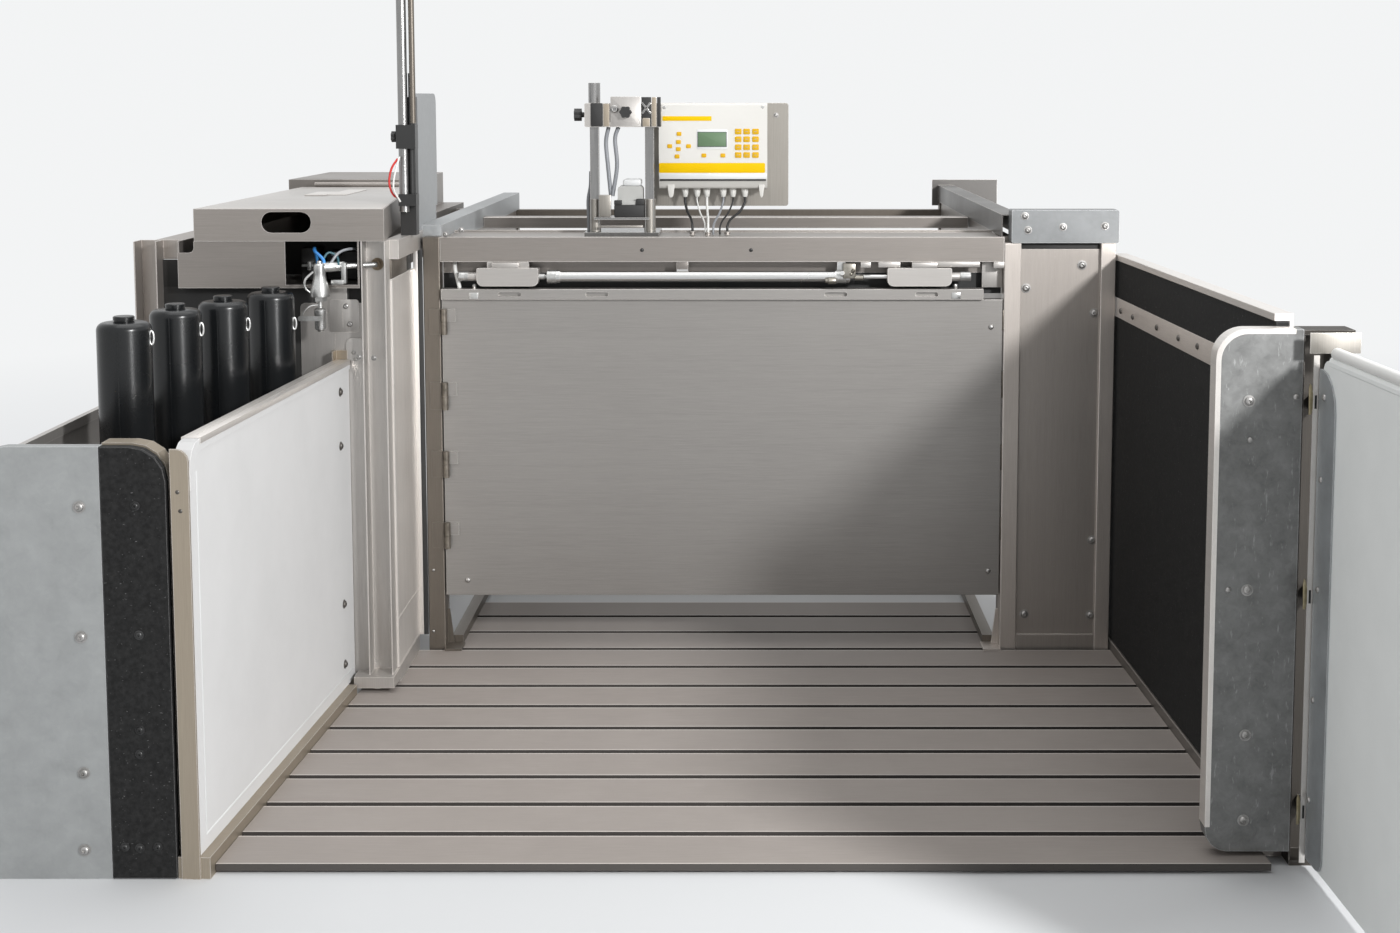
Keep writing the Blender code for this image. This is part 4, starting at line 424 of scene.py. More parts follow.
# %% Plastics
def plastic(name, dark, light, roughness=0.42, edge_highlight_colour=None, bump=0.03, specular=0.5):
    finish, tree, surface = new_finish(name)
    marks = use(tree, smudge_group, Patch_Scale=3.5, Speck_Scale=160.0)
    colour = mix(tree, marks["Patches"], light, dark)
    # The edge colour, where given, is a painted highlight along the edges.
    if edge_highlight_colour:
        edge = use(tree, edge_highlight_group, Width=0.0016)["Edge"]
        colour = mix(tree, times(tree, edge, 0.6), colour, edge_highlight_colour)
    rough = between(tree, marks["Patches"], 0.0, 1.0, roughness, roughness + 0.08)
    surface.inputs["Specular IOR Level"].default_value = specular
    connect(tree, surface, colour, rough, marks["Specks"], bump, 0.0003)
    return finish


white_panel = plastic("white_panel", (0.535, 0.535, 0.535), (0.570, 0.570, 0.570), edge_highlight_colour=(0.90, 0.90, 0.89))
door_panel = plastic("door_panel", (0.76, 0.78, 0.77), (0.82, 0.84, 0.83), edge_highlight_colour=(0.85, 0.86, 0.86))
canister_black = plastic("canister_black", (0.004, 0.0045, 0.005), (0.008, 0.009, 0.010), 0.23, specular=0.42)
knob_black = plastic("knob_black", (0.012, 0.012, 0.012), (0.022, 0.022, 0.022), 0.50, bump=0.15)
mast_black = plastic("mast_black", (0.010, 0.010, 0.010), (0.020, 0.020, 0.020), 0.38)
controller_white = plastic("controller_white", (0.59, 0.58, 0.55), (0.64, 0.63, 0.60), 0.42, specular=0.30)
filter_grey = plastic("filter_grey", (0.36, 0.36, 0.345), (0.46, 0.46, 0.445), 0.45)
# This dark plastic is real rubber on the clamp and filter foot and painted shade on the face band, the lock sheet and
# the gate strip.
dark_rubber_and_shade = plastic("dark_rubber_and_shade", (0.014, 0.014, 0.014), (0.024, 0.024, 0.024), 0.62, bump=0.2)
signal_yellow = plastic("signal_yellow", (0.66, 0.41, 0.001), (0.71, 0.46, 0.001), 0.60, specular=0.10)
key_orange = plastic("key_orange", (0.56, 0.32, 0.008), (0.63, 0.37, 0.014), 0.60, specular=0.15)
display_green = plastic("display_green", (0.085, 0.148, 0.085), (0.13, 0.205, 0.12), 0.40, specular=0.25)
display_dark = plastic("display_dark", (0.035, 0.045, 0.045), (0.06, 0.07, 0.07), 0.35)
film_grey = plastic("film_grey", (0.58, 0.59, 0.59), (0.66, 0.67, 0.67), 0.40)
hose_grey = plastic("hose_grey", (0.20, 0.21, 0.225), (0.28, 0.29, 0.31), 0.30)
hose_white = plastic("hose_white", (0.66, 0.66, 0.64), (0.76, 0.76, 0.74), 0.35)
hose_blue = plastic("hose_blue", (0.03, 0.17, 0.50), (0.06, 0.30, 0.70), 0.28)
hose_teal = plastic("hose_teal", (0.012, 0.055, 0.070), (0.030, 0.11, 0.14), 0.35)
mark_grey = plastic("mark_grey", (0.34, 0.30, 0.22), (0.40, 0.36, 0.28), 0.55, specular=0.2)
wire_red = plastic("wire_red", (0.45, 0.02, 0.02), (0.60, 0.03, 0.02), 0.40)
# This near-black also colours the sheets of painted shade: gap strips, rear board, header and side panel sheets.
inside_dark = plastic("inside_dark", (0.006, 0.006, 0.006), (0.014, 0.013, 0.012), 0.60)
gland_grey = plastic("gland_grey", (0.56, 0.56, 0.53), (0.70, 0.70, 0.67), 0.35)
cable_black = plastic("cable_black", (0.010, 0.010, 0.010), (0.020, 0.020, 0.020), 0.42)
cable_white = plastic("cable_white", (0.66, 0.66, 0.64), (0.76, 0.76, 0.74), 0.42)

board_black, tree, surface = new_finish("black_board")
short_fibres = vector_maths(tree, "MULTIPLY", place_of(tree), (1.0, 1.0, 2.6))
fibre_turn = noise(tree, place_of(tree), 45.0, 1.0, output="Color")
swirled = vector_maths(tree, "MULTIPLY", fibre_turn, (0.035, 0.035, 0.035))
fleck_distance, fleck_random = cells_of(tree, vector_maths(tree, "ADD", short_fibres, swirled), 120.0)
fleck_limit = between(tree, fleck_random[1], 0.0, 1.0, 0.04, 0.20)
fleck_some = maths(tree, "GREATER_THAN", fleck_random[0], 0.72)
fleck = times(tree, maths(tree, "LESS_THAN", fleck_distance, fleck_limit), fleck_some)
pressed = noise(tree, place_of(tree), 95.0, 6.0, 0.7)
colour = mix(tree, between(tree, pressed, 0.38, 0.68), (0.004, 0.004, 0.004), (0.019, 0.019, 0.019))
fleck_colour = mix(tree, fleck_random[2], (0.05, 0.05, 0.05), (0.16, 0.16, 0.16))
colour = mix(tree, fleck, colour, fleck_colour)
# painted highlight along the edges
colour = mix(tree, use(tree, edge_highlight_group, Width=0.002)["Edge"], colour, (0.14, 0.14, 0.14))
surface.inputs["Specular IOR Level"].default_value = 0.25
connect(tree, surface, colour, between(tree, pressed, 0.3, 0.7, 0.60, 0.85), pressed, 0.35, 0.0012)
print("plastics:", len(bpy.data.materials), "materials so far")

# %% [markdown]
# Small metal parts: zinc bolts, polished fittings, brass, the brown hinge barrels and a rusty flange.

# %% Small metals
def small_metal(name, dark, light, roughness=0.28, metallic=0.9, scale=220.0):
    finish, tree, surface = new_finish(name)
    marks = use(tree, smudge_group, Patch_Scale=scale / 4, Speck_Scale=scale)
    edge = use(tree, edge_highlight_group, Width=0.0007)["Edge"]
    colour = mix(tree, marks["Patches"], light, dark)
    # painted highlight along the edges
    colour = mix(tree, times(tree, edge, 0.6), colour, tuple(min(1, c * 1.5) for c in light))
    rough = between(tree, marks["Patches"], 0.0, 1.0, roughness, roughness + 0.15)
    surface.inputs["Metallic"].default_value = metallic
    connect(tree, surface, colour, rough, marks["Specks"], 0.08, 0.0002)
    return finish


bolt_zinc = small_metal("bolt_zinc", (0.25, 0.245, 0.235), (0.42, 0.41, 0.40), 0.36)
bolt_black = small_metal("bolt_black", (0.012, 0.012, 0.012), (0.05, 0.05, 0.05), 0.30, 0.5)
bolt_shadow = small_metal("bolt_shadow", (0.05, 0.045, 0.04), (0.14, 0.13, 0.12), 0.35, 0.6)
fitting_bright = small_metal("fitting_bright", (0.38, 0.38, 0.37), (0.58, 0.58, 0.57), 0.26, 0.85)
ring_bright = small_metal("ring_bright", (0.62, 0.62, 0.61), (0.84, 0.84, 0.83), 0.24, 0.7)
fitting_brass = small_metal("fitting_brass", (0.20, 0.185, 0.16), (0.36, 0.34, 0.30), 0.30)
hinge_brown = small_metal("hinge_brown", (0.10, 0.088, 0.072), (0.22, 0.195, 0.165), 0.36, 0.7)
lug_gold = small_metal("lug_gold", (0.26, 0.22, 0.13), (0.44, 0.38, 0.25), 0.34, 0.8)
rusty = small_metal("rusty_flange", (0.17, 0.12, 0.075), (0.36, 0.30, 0.22), 0.55, 0.35, 120.0)
print("all finishes:", len(bpy.data.materials))

# %% [markdown]
# The solids get their finishes. A node that isn't in this list would keep its plain packed colour, so
# the last line counts what is left.

# %% Finishes of the solids
finishes_of_solids = (
    (board_finish, "slatted_floor"),
    (wall_end_steel, "left_wall_frame bay_front_channel"),
    (white_panel, "left_wall_panel"),
    (bay_zinc, "bay_front_plate"),
    (board_black, "bay_front_board right_wall_board"),
    (bracket_steel, "bay_outer_wall valve_bracket stand_clamp"),
    (deep_steel, "canister_tray weigh_platform right_wall_rail"),
    (canister_black, "canister_1 canister_2 canister_3 canister_4"),
    (corner_steel_painted_light, "corner_post_left"),
    (infill_steel, "outer_post_left right_infill_panel"),
    (side_panel_steel_painted_light, "left_side_panel"),
    (left_post_steel, "gate_post_left rear_frame"),
    (right_post_steel, "gate_post_right corner_post_right"),
    (header_zinc, "right_header_box"),
    (rail_zinc, "side_rail_left mast_plate"),
    (right_rail_steel, "side_rail_right"),
    (beam_steel, "front_beam rear_beam"),
    (crate_steel, "crate_wall_left crate_wall_right"),
    (gate_steel, "gate_panel"),
    (rail_steel, "gate_guide_rail"),
    (bright_steel, "cylinder_barrel piston_rod"),
    (housing_steel, "fixed_housing sliding_housing"),
    (trim_steel, "right_wall_cap"),
    (plate_zinc, "right_end_plate"),
    (hinge_post_steel_painted_shade, "hinge_post"),
    (door_panel, "door_panel"),
    (door_zinc, "door_edge_plate"),
    (cabinet_steel, "cabinet_body"),
    (lid_steel, "cabinet_lid"),
    (fitting_bright, "air_regulator valve_lever"),
    (controller_white, "controller_box"),
    (plate_steel, "controller_plate"),
    (tube_steel, "stand_frame mast_tube"),
    (knob_black, "clamp_knob_side clamp_knob_front mast_knob"),
    (filter_grey, "filter_box"),
    (mast_black, "mast_channel"),
)
finish_of = {name: finish for finish, names in finishes_of_solids for name in names.split()}
for name, finish in finish_of.items():
    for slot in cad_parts[name].material_slots:
        slot.material = finish
left_plain = sorted(set(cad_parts) - set(finish_of) - {"cable_black_left", "cable_white", "cable_black_right"})
print("nodes left with the packed colour:", left_plain)


# %% [markdown]
# Pieces are built as one mesh for each group of like parts. A turned profile about an axis serves for
# bolts, knobs, glands and fittings; a flat outline with a thickness serves for plates and keys.

# %% Mesh helpers
def turned(work, profile, at, axis=(0, 0, 1), steps=24, hollow=False):
    """Adds a turned shape: profile points are (radius, height) or (radius, height, True) for a hexagon."""
    turn = Vector((0, 0, 1)).rotation_difference(Vector(axis)).to_matrix().to_4x4()
    matrix = Matrix.Translation(at) @ turn
    rings = []
    for radius, height, *hexagon in profile:
        if radius == 0:
            rings.append([work.verts.new(matrix @ Vector((0, 0, height)))])
            continue
        ring = []
        for step in range(steps):
            angle = 2 * math.pi * step / steps
            reach = radius
            if hexagon:
                reach *= math.cos(math.pi / 6) / math.cos((angle % (math.pi / 3)) - math.pi / 6)
            ring.append(work.verts.new(matrix @ Vector((reach * math.cos(angle), reach * math.sin(angle), height))))
        rings.append(ring)
    for lower, upper in zip(rings, rings[1:] + (rings[:1] if hollow else [])):
        if len(lower) == 1 and len(upper) == 1:
            continue
        for step in range(steps):
            after = (step + 1) % steps
            if len(upper) == 1:
                work.faces.new((lower[step], lower[after], upper[0]))
            elif len(lower) == 1:
                work.faces.new((lower[0], upper[after], upper[step]))
            else:
                work.faces.new((lower[step], lower[after], upper[after], upper[step]))
    if hollow:
        return
    if len(rings[0]) > 1:
        work.faces.new(list(reversed(rings[0])))
    if len(rings[-1]) > 1:
        work.faces.new(rings[-1])


def box(work, x, y, z, edge=0.0, matrix=Matrix.Identity(4)):
    """Adds a block between pairs of limits, its edges rounded."""
    made = bmesh.ops.create_cube(work, size=1)["verts"]
    bmesh.ops.scale(work, vec=(x[1] - x[0], y[1] - y[0], z[1] - z[0]), verts=made)
    bmesh.ops.translate(work, vec=((x[0] + x[1]) / 2, (y[0] + y[1]) / 2, (z[0] + z[1]) / 2), verts=made)
    if edge:
        edges = list({e for v in made for e in v.link_edges})
        rounded = bmesh.ops.bevel(work, geom=edges, offset=edge, segments=2, affect="EDGES", profile=0.5)
        made = list({v for f in rounded["faces"] for v in f.verts} | {v for v in made if v.is_valid})
    bmesh.ops.transform(work, matrix=matrix, verts=[v for v in made if v.is_valid])


def plate(work, outline, thickness, matrix, edge=0.0):
    """Adds a flat outline of (u, v) points, its face at height 0 and its back at -thickness."""
    top = [work.verts.new(matrix @ Vector((u, v, 0))) for u, v in outline]
    bottom = [work.verts.new(matrix @ Vector((u, v, -thickness))) for u, v in outline]
    face = work.faces.new(top)
    work.faces.new(list(reversed(bottom)))
    for index in range(len(outline)):
        after = (index + 1) % len(outline)
        work.faces.new((top[after], top[index], bottom[index], bottom[after]))
    if edge:
        bmesh.ops.bevel(work, geom=list(face.edges), offset=edge, segments=2, affect="EDGES", profile=0.5)


def rounded_rectangle(u, v, radius, steps=5):
    """The outline of a rectangle between two pairs of limits, its corners rounded."""
    points = []
    corners = (
        (u[1] - radius, v[1] - radius, 0),
        (u[0] + radius, v[1] - radius, 90),
        (u[0] + radius, v[0] + radius, 180),
        (u[1] - radius, v[0] + radius, 270),
    )
    for cu, cv, start in corners:
        for step in range(steps + 1):
            angle = math.radians(start + 90 * step / steps)
            points.append((cu + radius * math.cos(angle), cv + radius * math.sin(angle)))
    return points


def facing(y):
    """A matrix for outlines of (x, z) points whose face looks at the viewer from depth y."""
    return Matrix.Translation((0, y, 0)) @ Matrix.Rotation(math.radians(90), 4, "X")


def finish_piece(name, work, finish, body="station_frame"):
    """Turns the work mesh into a piece that rides on a body of the station."""
    bmesh.ops.recalc_face_normals(work, faces=work.faces)
    mesh = bpy.data.meshes.new(name)
    work.to_mesh(mesh)
    work.free()
    mesh.materials.append(finish)
    mesh.shade_smooth()
    mesh.set_sharp_from_angle(angle=math.radians(35))
    piece = bpy.data.objects.new(name, mesh)
    pieces.objects.link(piece)
    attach(piece, body)
    return piece


def build(name, finish, *parts, body="station_frame", slot="brushed_stainless"):
    """A piece of several shapes: each part is a function of this cell and its values after the mesh."""
    work = bmesh.new()
    for shape, *values in parts:
        shape(work, *values)
    return finish_piece(name, work, finish, body)


print("shapes:", turned.__name__, box.__name__, plate.__name__)


# %% [markdown]
# Tubes, hoses and cables are curves with a round section. A smooth line is drawn through a few chosen
# points, and the curve follows it in short even steps.

# %% Curve helpers
def smooth_route(route, spacing):
    """Points every spacing along a smooth curve through the route's own points."""
    route = [Vector(point) for point in route]
    ends = [2 * route[0] - route[1]] + route + [2 * route[-1] - route[-2]]
    fine = []
    for a, b, c, d in zip(ends, ends[1:], ends[2:], ends[3:]):
        for step in range(24):
            t = step / 24
            bend = (2 * a - 5 * b + 4 * c - d) * t**2 + (3 * b - a - 3 * c + d) * t**3
            fine.append(0.5 * (2 * b + (c - a) * t + bend))
    fine.append(route[-1])
    total = sum((b - a).length for a, b in zip(fine, fine[1:]))
    count = max(2, round(total / spacing))
    points = [fine[0]]
    walked = 0
    for a, b in zip(fine, fine[1:]):
        length = (b - a).length
        while len(points) < count and walked + length >= total * len(points) / count:
            share = (total * len(points) / count - walked) / length
            points.append(a.lerp(b, share))
        walked += length
    points.append(fine[-1])
    return points


def tube(name, points, radius, finish, body="station_frame", sides=4):
    curve = bpy.data.curves.new(name, "CURVE")
    curve.dimensions = "3D"
    curve.bevel_depth = radius
    curve.bevel_resolution = sides
    curve.use_fill_caps = True
    spline = curve.splines.new("POLY")
    spline.points.add(len(points) - 1)
    for spot, point in zip(spline.points, points):
        spot.co = (*point, 1)
    curve.materials.append(finish)
    piece = bpy.data.objects.new(name, curve)
    pieces.objects.link(piece)
    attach(piece, body)
    return piece


def free_hose(name, points, radius, finish):
    """A cord along points: both its ends go into the object."""
    hose = tube(name, points, radius, finish)
    return hose


# %% [markdown]
# Three cables leave the controller's glands and go down into grommets on the beam. The photograph shows
# them from end to end, so their lengths are those of the routes. They are limp enough to bend forward
# between two short straight ends.

# %% Cables
CABLE_RADIUS = 0.0035
GLAND_Y = 0.235
GLAND_END = 1.2257
GROMMET_TOP = 1.135


def gland_route(gland_x, end_x, end_y, drop, first, second, rise, end_z):
    """From a gland to a grommet; first and second are (share of the way, forward, down or up)."""
    across = end_x - gland_x
    return [
        (gland_x, GLAND_Y, GLAND_END),
        (gland_x, GLAND_Y, GLAND_END - drop),
        (gland_x + across * first[0], GLAND_Y - first[1], GLAND_END - first[2]),
        (gland_x + across * second[0], (GLAND_Y + end_y) / 2 - second[1], GROMMET_TOP + second[2]),
        (end_x, end_y, GROMMET_TOP + rise),
        (end_x, end_y, end_z),
    ]


cable_bends = (0.014, (0.30, 0.012, 0.040), (0.80, 0.004, 0.032), 0.014, GROMMET_TOP + 0.0003)
for name, gland_x, end_x, end_y, finish, slot in (
    ("cable_black_left", -0.105, -0.083, 0.170, cable_black, "cable_black"),
    ("cable_white", -0.045, -0.040, 0.150, cable_white, "cable_white"),
    ("cable_black_right", 0.060, 0.012, 0.165, cable_black, "cable_black"),
):
    route = smooth_route(gland_route(gland_x, end_x, end_y, *cable_bends), 2 * CABLE_RADIUS)
    route[1] = Vector((gland_x, GLAND_Y, route[1].z))
    route[-2] = Vector((end_x, end_y, route[-2].z))
    cable = free_hose(name + "_lead", route, CABLE_RADIUS, finish)
    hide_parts(name)

# %% [markdown]
# Bolts. Button heads with a hexagon socket on a washer hold the sheets; small domed rivets and dark
# bolts hold the rest. All bolts of one sheet are one piece, placed by their pixels in the photograph.

# %% Bolts on the sheets
def button_bolt(work, at, axis, size=1.0):
    """A washer and a button head with a hexagon socket, 20 mm across at size 1."""
    rings = [(0.0100, -0.0002 / size), (0.0100, 0.0012), (0.0074, 0.0014), (0.0073, 0.0024), (0.0064, 0.0042)]
    rings += [(0.0046, 0.0054), (0.0034, 0.0056, True), (0.0033, 0.0024, True), (0, 0.0020)]
    turned(work, [(radius * size, height * size, *hexagon) for radius, height, *hexagon in rings], at, axis)


def dome_rivet(work, at, axis, size=0.0045):
    """A domed head; its size is its radius."""
    rings = [(1, 0.15), (0.85, 0.45), (0.5, 0.65), (0, 0.72)]
    turned(work, [(size, -0.0002)] + [(size * radius, size * height) for radius, height in rings], at, axis, 16)


def bolt_group(name, pixels, plane, shape=button_bolt, size=1.0, finish=bolt_zinc, body="station_frame"):
    """One piece with a bolt at each pixel, standing on a plane given as a point and a normal."""
    point, normal = plane
    bolts = [(shape, seen_on(pixel, point, normal), normal, size) for pixel in pixels]
    return build(name, finish, *bolts, body=body, slot="bright_metal")


bolt_group("bay_bolts", ((79, 507), (81, 637), (84, 773), (85, 850)), front(-1.390), size=1.2)
board_pixels = ((135, 506), (139, 635), (140, 730), (140, 754), (125, 847), (140, 848), (158, 847))
bolt_group("bay_board_bolts", board_pixels, front(-1.392), size=0.9, finish=bolt_black)
infill_pixels = ((1026, 288), (1094, 313), (1092, 540), (1024, 614), (1090, 615), (1082, 265))
bolt_group("infill_bolts", infill_pixels, front(0.012), size=1.25)
bolt_group("header_bolts", ((1025, 216), (1028, 230), (1063, 227), (1105, 226)), front(-0.003), size=1.05)
bolt_group("end_plate_bolts", ((1249, 401), (1247, 590), (1245, 735), (1243, 820)), front(-1.330), size=1.15)
bolt_group("end_plate_rivets", ((1250, 440), (1228, 590), (1296, 397)), front(-1.330), dome_rivet, 0.006)
gate_pixels = ((991, 327), (988, 571), (468, 580))
bolt_group("gate_rivets", gate_pixels, front(0.0015), dome_rivet, 0.007, body="front_gate")
bolt_group("bracket_bolts", ((346, 306), (350, 324), (354, 352), (356, 359)), front(-0.2985), size=0.95)
wall_pixels = ((340, 392), (340.6, 446), (344, 604), (345, 664))
left_face = (LEFT_WALL @ Vector((-0.003, 0, 0)), LEFT_FACE_NORMAL)
bolt_group("left_wall_bolts", wall_pixels, left_face, size=1.1, finish=bolt_shadow)
bolt_group("beam_plugs", ((642, 250), (751, 250)), front(0), dome_rivet, 0.005, bolt_black)
bolt_group("left_post_screws", ((433.6, 570), (433.6, 631)), front(0), dome_rivet, 0.004)
bolt_group("left_rail_bolts", ((445.5, 234.5), (461, 230)), front(0), size=0.8)

# %% [markdown]
# A stainless strip covers the joint between the two boards of the right wall. It is screwed through dark
# countersunk holes, closer together near the gate than near the viewer.

# %% Joint strip of the right wall
STRIP_FACE = 0.002
strip_box = (box, (STRIP_FACE, 0.0042), (-1.300, -0.010), (0.921, 0.972), 0.0006, RIGHT_WALL)
build("joint_strip", strip_steel, strip_box)
strip_pixels = ((1121, 311), (1133, 317), (1157, 327.5), (1178.7, 338), (1197.8, 346.3))
strip_plane = (RIGHT_WALL @ Vector((STRIP_FACE, 0, 0)), RIGHT_FACE_NORMAL)
bolt_group("joint_strip_bolts", strip_pixels, strip_plane, dome_rivet, 0.0075, bolt_shadow)
print("strip screws:", len(strip_pixels))

# %% [markdown]
# Dark strips lie under the gaps between the floor boards as painted shade: seen from above the gaps are
# black. They are flat bars that touch the undersides of the boards.

# %% Strips under the floor's gaps
floor_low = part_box("slatted_floor")[0]
floor_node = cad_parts["slatted_floor"]
board_corners = [floor_node.matrix_world @ vertex.co for vertex in floor_node.data.vertices]
gap_shade_strips = []
for gap_row in range(-8, 3):
    middle = gap_row * BOARD_PITCH
    beside = [corner.x for corner in board_corners if abs(corner.y - middle) < 0.02]
    ends = (max(x for x in beside if x < 0) + 0.01, min(x for x in beside if x > 0) - 0.01)
    gap_shade_strips.append((box, ends, (middle - 0.016, middle + 0.016), (0.0006, floor_low[2] + 0.0002), 0.0003))
build("gap_shade_strips", inside_dark, *gap_shade_strips, slot="black_board")
print("gap strips:", len(gap_shade_strips))

# %% [markdown]
# The controller's face is moulded plastic with a printed film: a yellow stripe and band, a display in a
# dark frame and twenty rubber keys. It carries no words here. Places are measured from the top left
# corner of the face, in millimetres, so they read like a drawing of the film.

# %% Controller face
box_low, box_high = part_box("controller_box")
FACE = facing(box_low[1])


def face_rectangle(left, top, right, bottom, radius):
    """An outline on the face, from the places of two opposite corners in millimetres."""
    u = (box_low[0] + left / 1000, box_low[0] + right / 1000)
    v = (box_high[2] - bottom / 1000, box_high[2] - top / 1000)
    return rounded_rectangle(u, v, radius)


for name, corners, radius, proud, edge, finish in (
    ("face_stripe", (10.4, 35.4, 143.9, 48.0), 0.0002, 0.0005, 0.0002, signal_yellow),
    ("face_band", (0.8, 162.6, 290.0, 189.7), 0.003, 0.0006, 0.0002, signal_yellow),
    ("face_lip", (0.8, 190.4, 295.0, 206.0), 0.004, 0.0012, 0.001, film_grey),
    # a dark band of painted shade under the lip
    ("face_painted_shade", (2.0, 206.6, 293.0, 211.5), 0.002, 0.0003, 0.0002, dark_rubber_and_shade),
    ("display_frame", (104.0, 70.9, 187.7, 125.1), 0.004, 0.0010, 0.0005, film_grey),
    ("display_rim", (105.5, 77.8, 185.5, 119.0), 0.001, 0.0014, 0.0002, display_dark),
    ("display_window", (107.5, 79.5, 183.5, 117.5), 0.001, 0.0019, 0.0002, display_green),
):
    raised = FACE @ Matrix.Translation((0, 0, proud))
    outline = face_rectangle(*corners, radius)
    build(name, finish, (plate, outline, proud + 0.0004, raised, edge), slot="controller_white")

key_places = [(across, down) for across in (216.8, 239.8, 264.0) for down in (77.1, 98.0, 119.7, 141.0)]
left_keys = [(55.5, 83.4), (53.8, 105.5), (30.0, 116.8), (81.3, 116.8), (53.4, 125.0), (50.0, 144.7)]
left_keys += [(123.0, 142.2), (175.0, 142.2)]


def keys(places, half, radius, thickness, proud, edge=0.0):
    """Equal plates at their places on the face; half is half of a plate's width and height."""
    raised = FACE @ Matrix.Translation((0, 0, proud))
    outlines = [face_rectangle(x - half[0], y - half[1], x + half[0], y + half[1], radius) for x, y in places]
    return [(plate, outline, thickness, raised, edge) for outline in outlines]


key_plates = keys(key_places, (9.0, 7.6), 0.0022, 0.0018, 0.0013, 0.0006)
key_plates += keys(left_keys, (6.6, 5.4), 0.0022, 0.0018, 0.0013, 0.0006)
build("face_keys", key_orange, *key_plates, slot="controller_white")
build("key_marks", mark_grey, *keys(key_places, (3.6, 0.9), 0.0004, 0.0006, 0.00145), slot="controller_white")
screw = [(0.0042, -0.0003), (0.0042, 0.0006), (0.0036, 0.0014), (0.0016, 0.0016), (0.0014, 0.0004), (0, 0.0004)]
screw_spots = [Vector((box_low[0] + across / 1000, box_low[1], box_high[2] - down / 1000))
               for across, down in ((15.4, 11.7), (283.6, 10.4))]
screws = [(turned, screw, spot, TOWARDS_VIEWER, 16) for spot in screw_spots]
build("face_screws", fitting_bright, *screws, slot="bright_metal")
print("controller keys:", len(key_plates))

# %% [markdown]
# Under the box hang six cable glands. Each is a hexagon body with a ribbed dome nut, in grey plastic;
# a sleeve over the solid's plain gland gives it the ribs. Two tapered white feet flank them.

# %% Glands and feet
GLAND_X = (-0.105, -0.072, -0.045, 0.000, 0.027, 0.060)
gland = [(0.0100, 0.0005, True), (0.0100, 0.0080, True), (0.0088, 0.0084), (0.0092, 0.0100), (0.0088, 0.0112)]
gland += [(0.0090, 0.0130), (0.0084, 0.0160), (0.0070, 0.0215), (0.0062, 0.0238), (0.0052, 0.0240)]
glands = [(turned, gland, (x, GLAND_Y, 1.2505), (0, 0, -1)) for x in GLAND_X]
build("gland_nuts", gland_grey, *glands, slot="controller_white")
feet = []
for left, right in ((-0.154, -0.131), (0.096, 0.115)):
    outline = [(left, 1.268), (right, 1.268), (right - 0.005, 1.232), (right - 0.008, 1.226)]
    outline += [(left + 0.008, 1.226), (left + 0.005, 1.232)]
    feet.append((plate, outline, 0.010, facing(0.200), 0.0015))
build("controller_feet", controller_white, *feet, slot="controller_white")
bolt_group("plate_bolts", ((776, 115),), front(0.2803), size=0.7)
print("glands:", len(GLAND_X))

# %% [markdown]
# Hinge barrels. The gate's solids hold the knuckles, half on the post and half on the gate; the real
# barrels have gone brown, so each half gets a thin sleeve that rides with its own half.

# %% Hinge sleeves
HINGE_FOOT = (-0.735, -0.008, 0)
HINGE_SPANS = ((0.875, 0.942), (0.673, 0.746), (0.491, 0.561), (0.298, 0.368))


def hinge_sleeve(bottom, top):
    profile = [(0.0076, bottom - 0.0004), (0.0084, bottom), (0.0084, top), (0.0076, top + 0.0002)]
    return turned, profile, HINGE_FOOT, (0, 0, 1), 20


lower_halves = [hinge_sleeve(bottom, (bottom + top) / 2 - 0.0006) for bottom, top in HINGE_SPANS]
upper_halves = [hinge_sleeve((bottom + top) / 2 + 0.0006, top) for bottom, top in HINGE_SPANS]
build("hinge_sleeves_post", hinge_brown, *lower_halves)
build("hinge_sleeves_gate", hinge_brown, *upper_halves, body="front_gate")
latch_slots = []
for pixel_rows in ((310, 330), (372, 398), (445, 470), (517, 540)):
    upper, lower = [seen_on((1003, row), *front(0)).z for row in pixel_rows]
    latch_slots.append((box, (0.7425, 0.7452), (-0.0006, 0.012), (lower, upper), 0.0004))
build("latch_slots", hinge_brown, *latch_slots)
print("hinges:", len(HINGE_SPANS))

# %% [markdown]
# Around the air cylinder: end caps, a brass elbow and clamp at its right end, short plates that hang the
# housings from the beam, and stubs. Behind them the beam's rear flange shows grey, with a dark sheet of painted shade
# under it.

# %% Cylinder fittings
LOCK_Z = 1.028
BEAM_UNDER = 1.067
BEAM_TOUCH = BEAM_UNDER - 0.0003
ALONG_CYLINDER = (1, 0, 0)
caps = []
for start, end in ((-0.462, -0.436), (0.300, 0.328)):
    length = end - start
    profile = [(0.0080, 0), (0.0150, 0), (0.0178, 0.001)]
    profile += [(0.0178, length - 0.001), (0.0150, length), (0.0080, length)]
    caps.append((turned, profile, (start, 0, LOCK_Z), ALONG_CYLINDER, 28, True))
rod_seal = [(0.008, 0), (0.008, 0.016), (0.006, 0.018), (0.006, 0.022)]
caps.append((turned, rod_seal, (-0.484, 0, LOCK_Z), ALONG_CYLINDER, 20))
build("barrel_ends", fitting_bright, *caps, slot="bright_metal")
nozzle = [(0.008, 0), (0.009, 0.002), (0.009, 0.020), (0.006, 0.022), (0.006, 0.028)]
elbow = [(0.0065, 0), (0.0065, 0.012), (0.0050, 0.014), (0.0050, 0.024)]
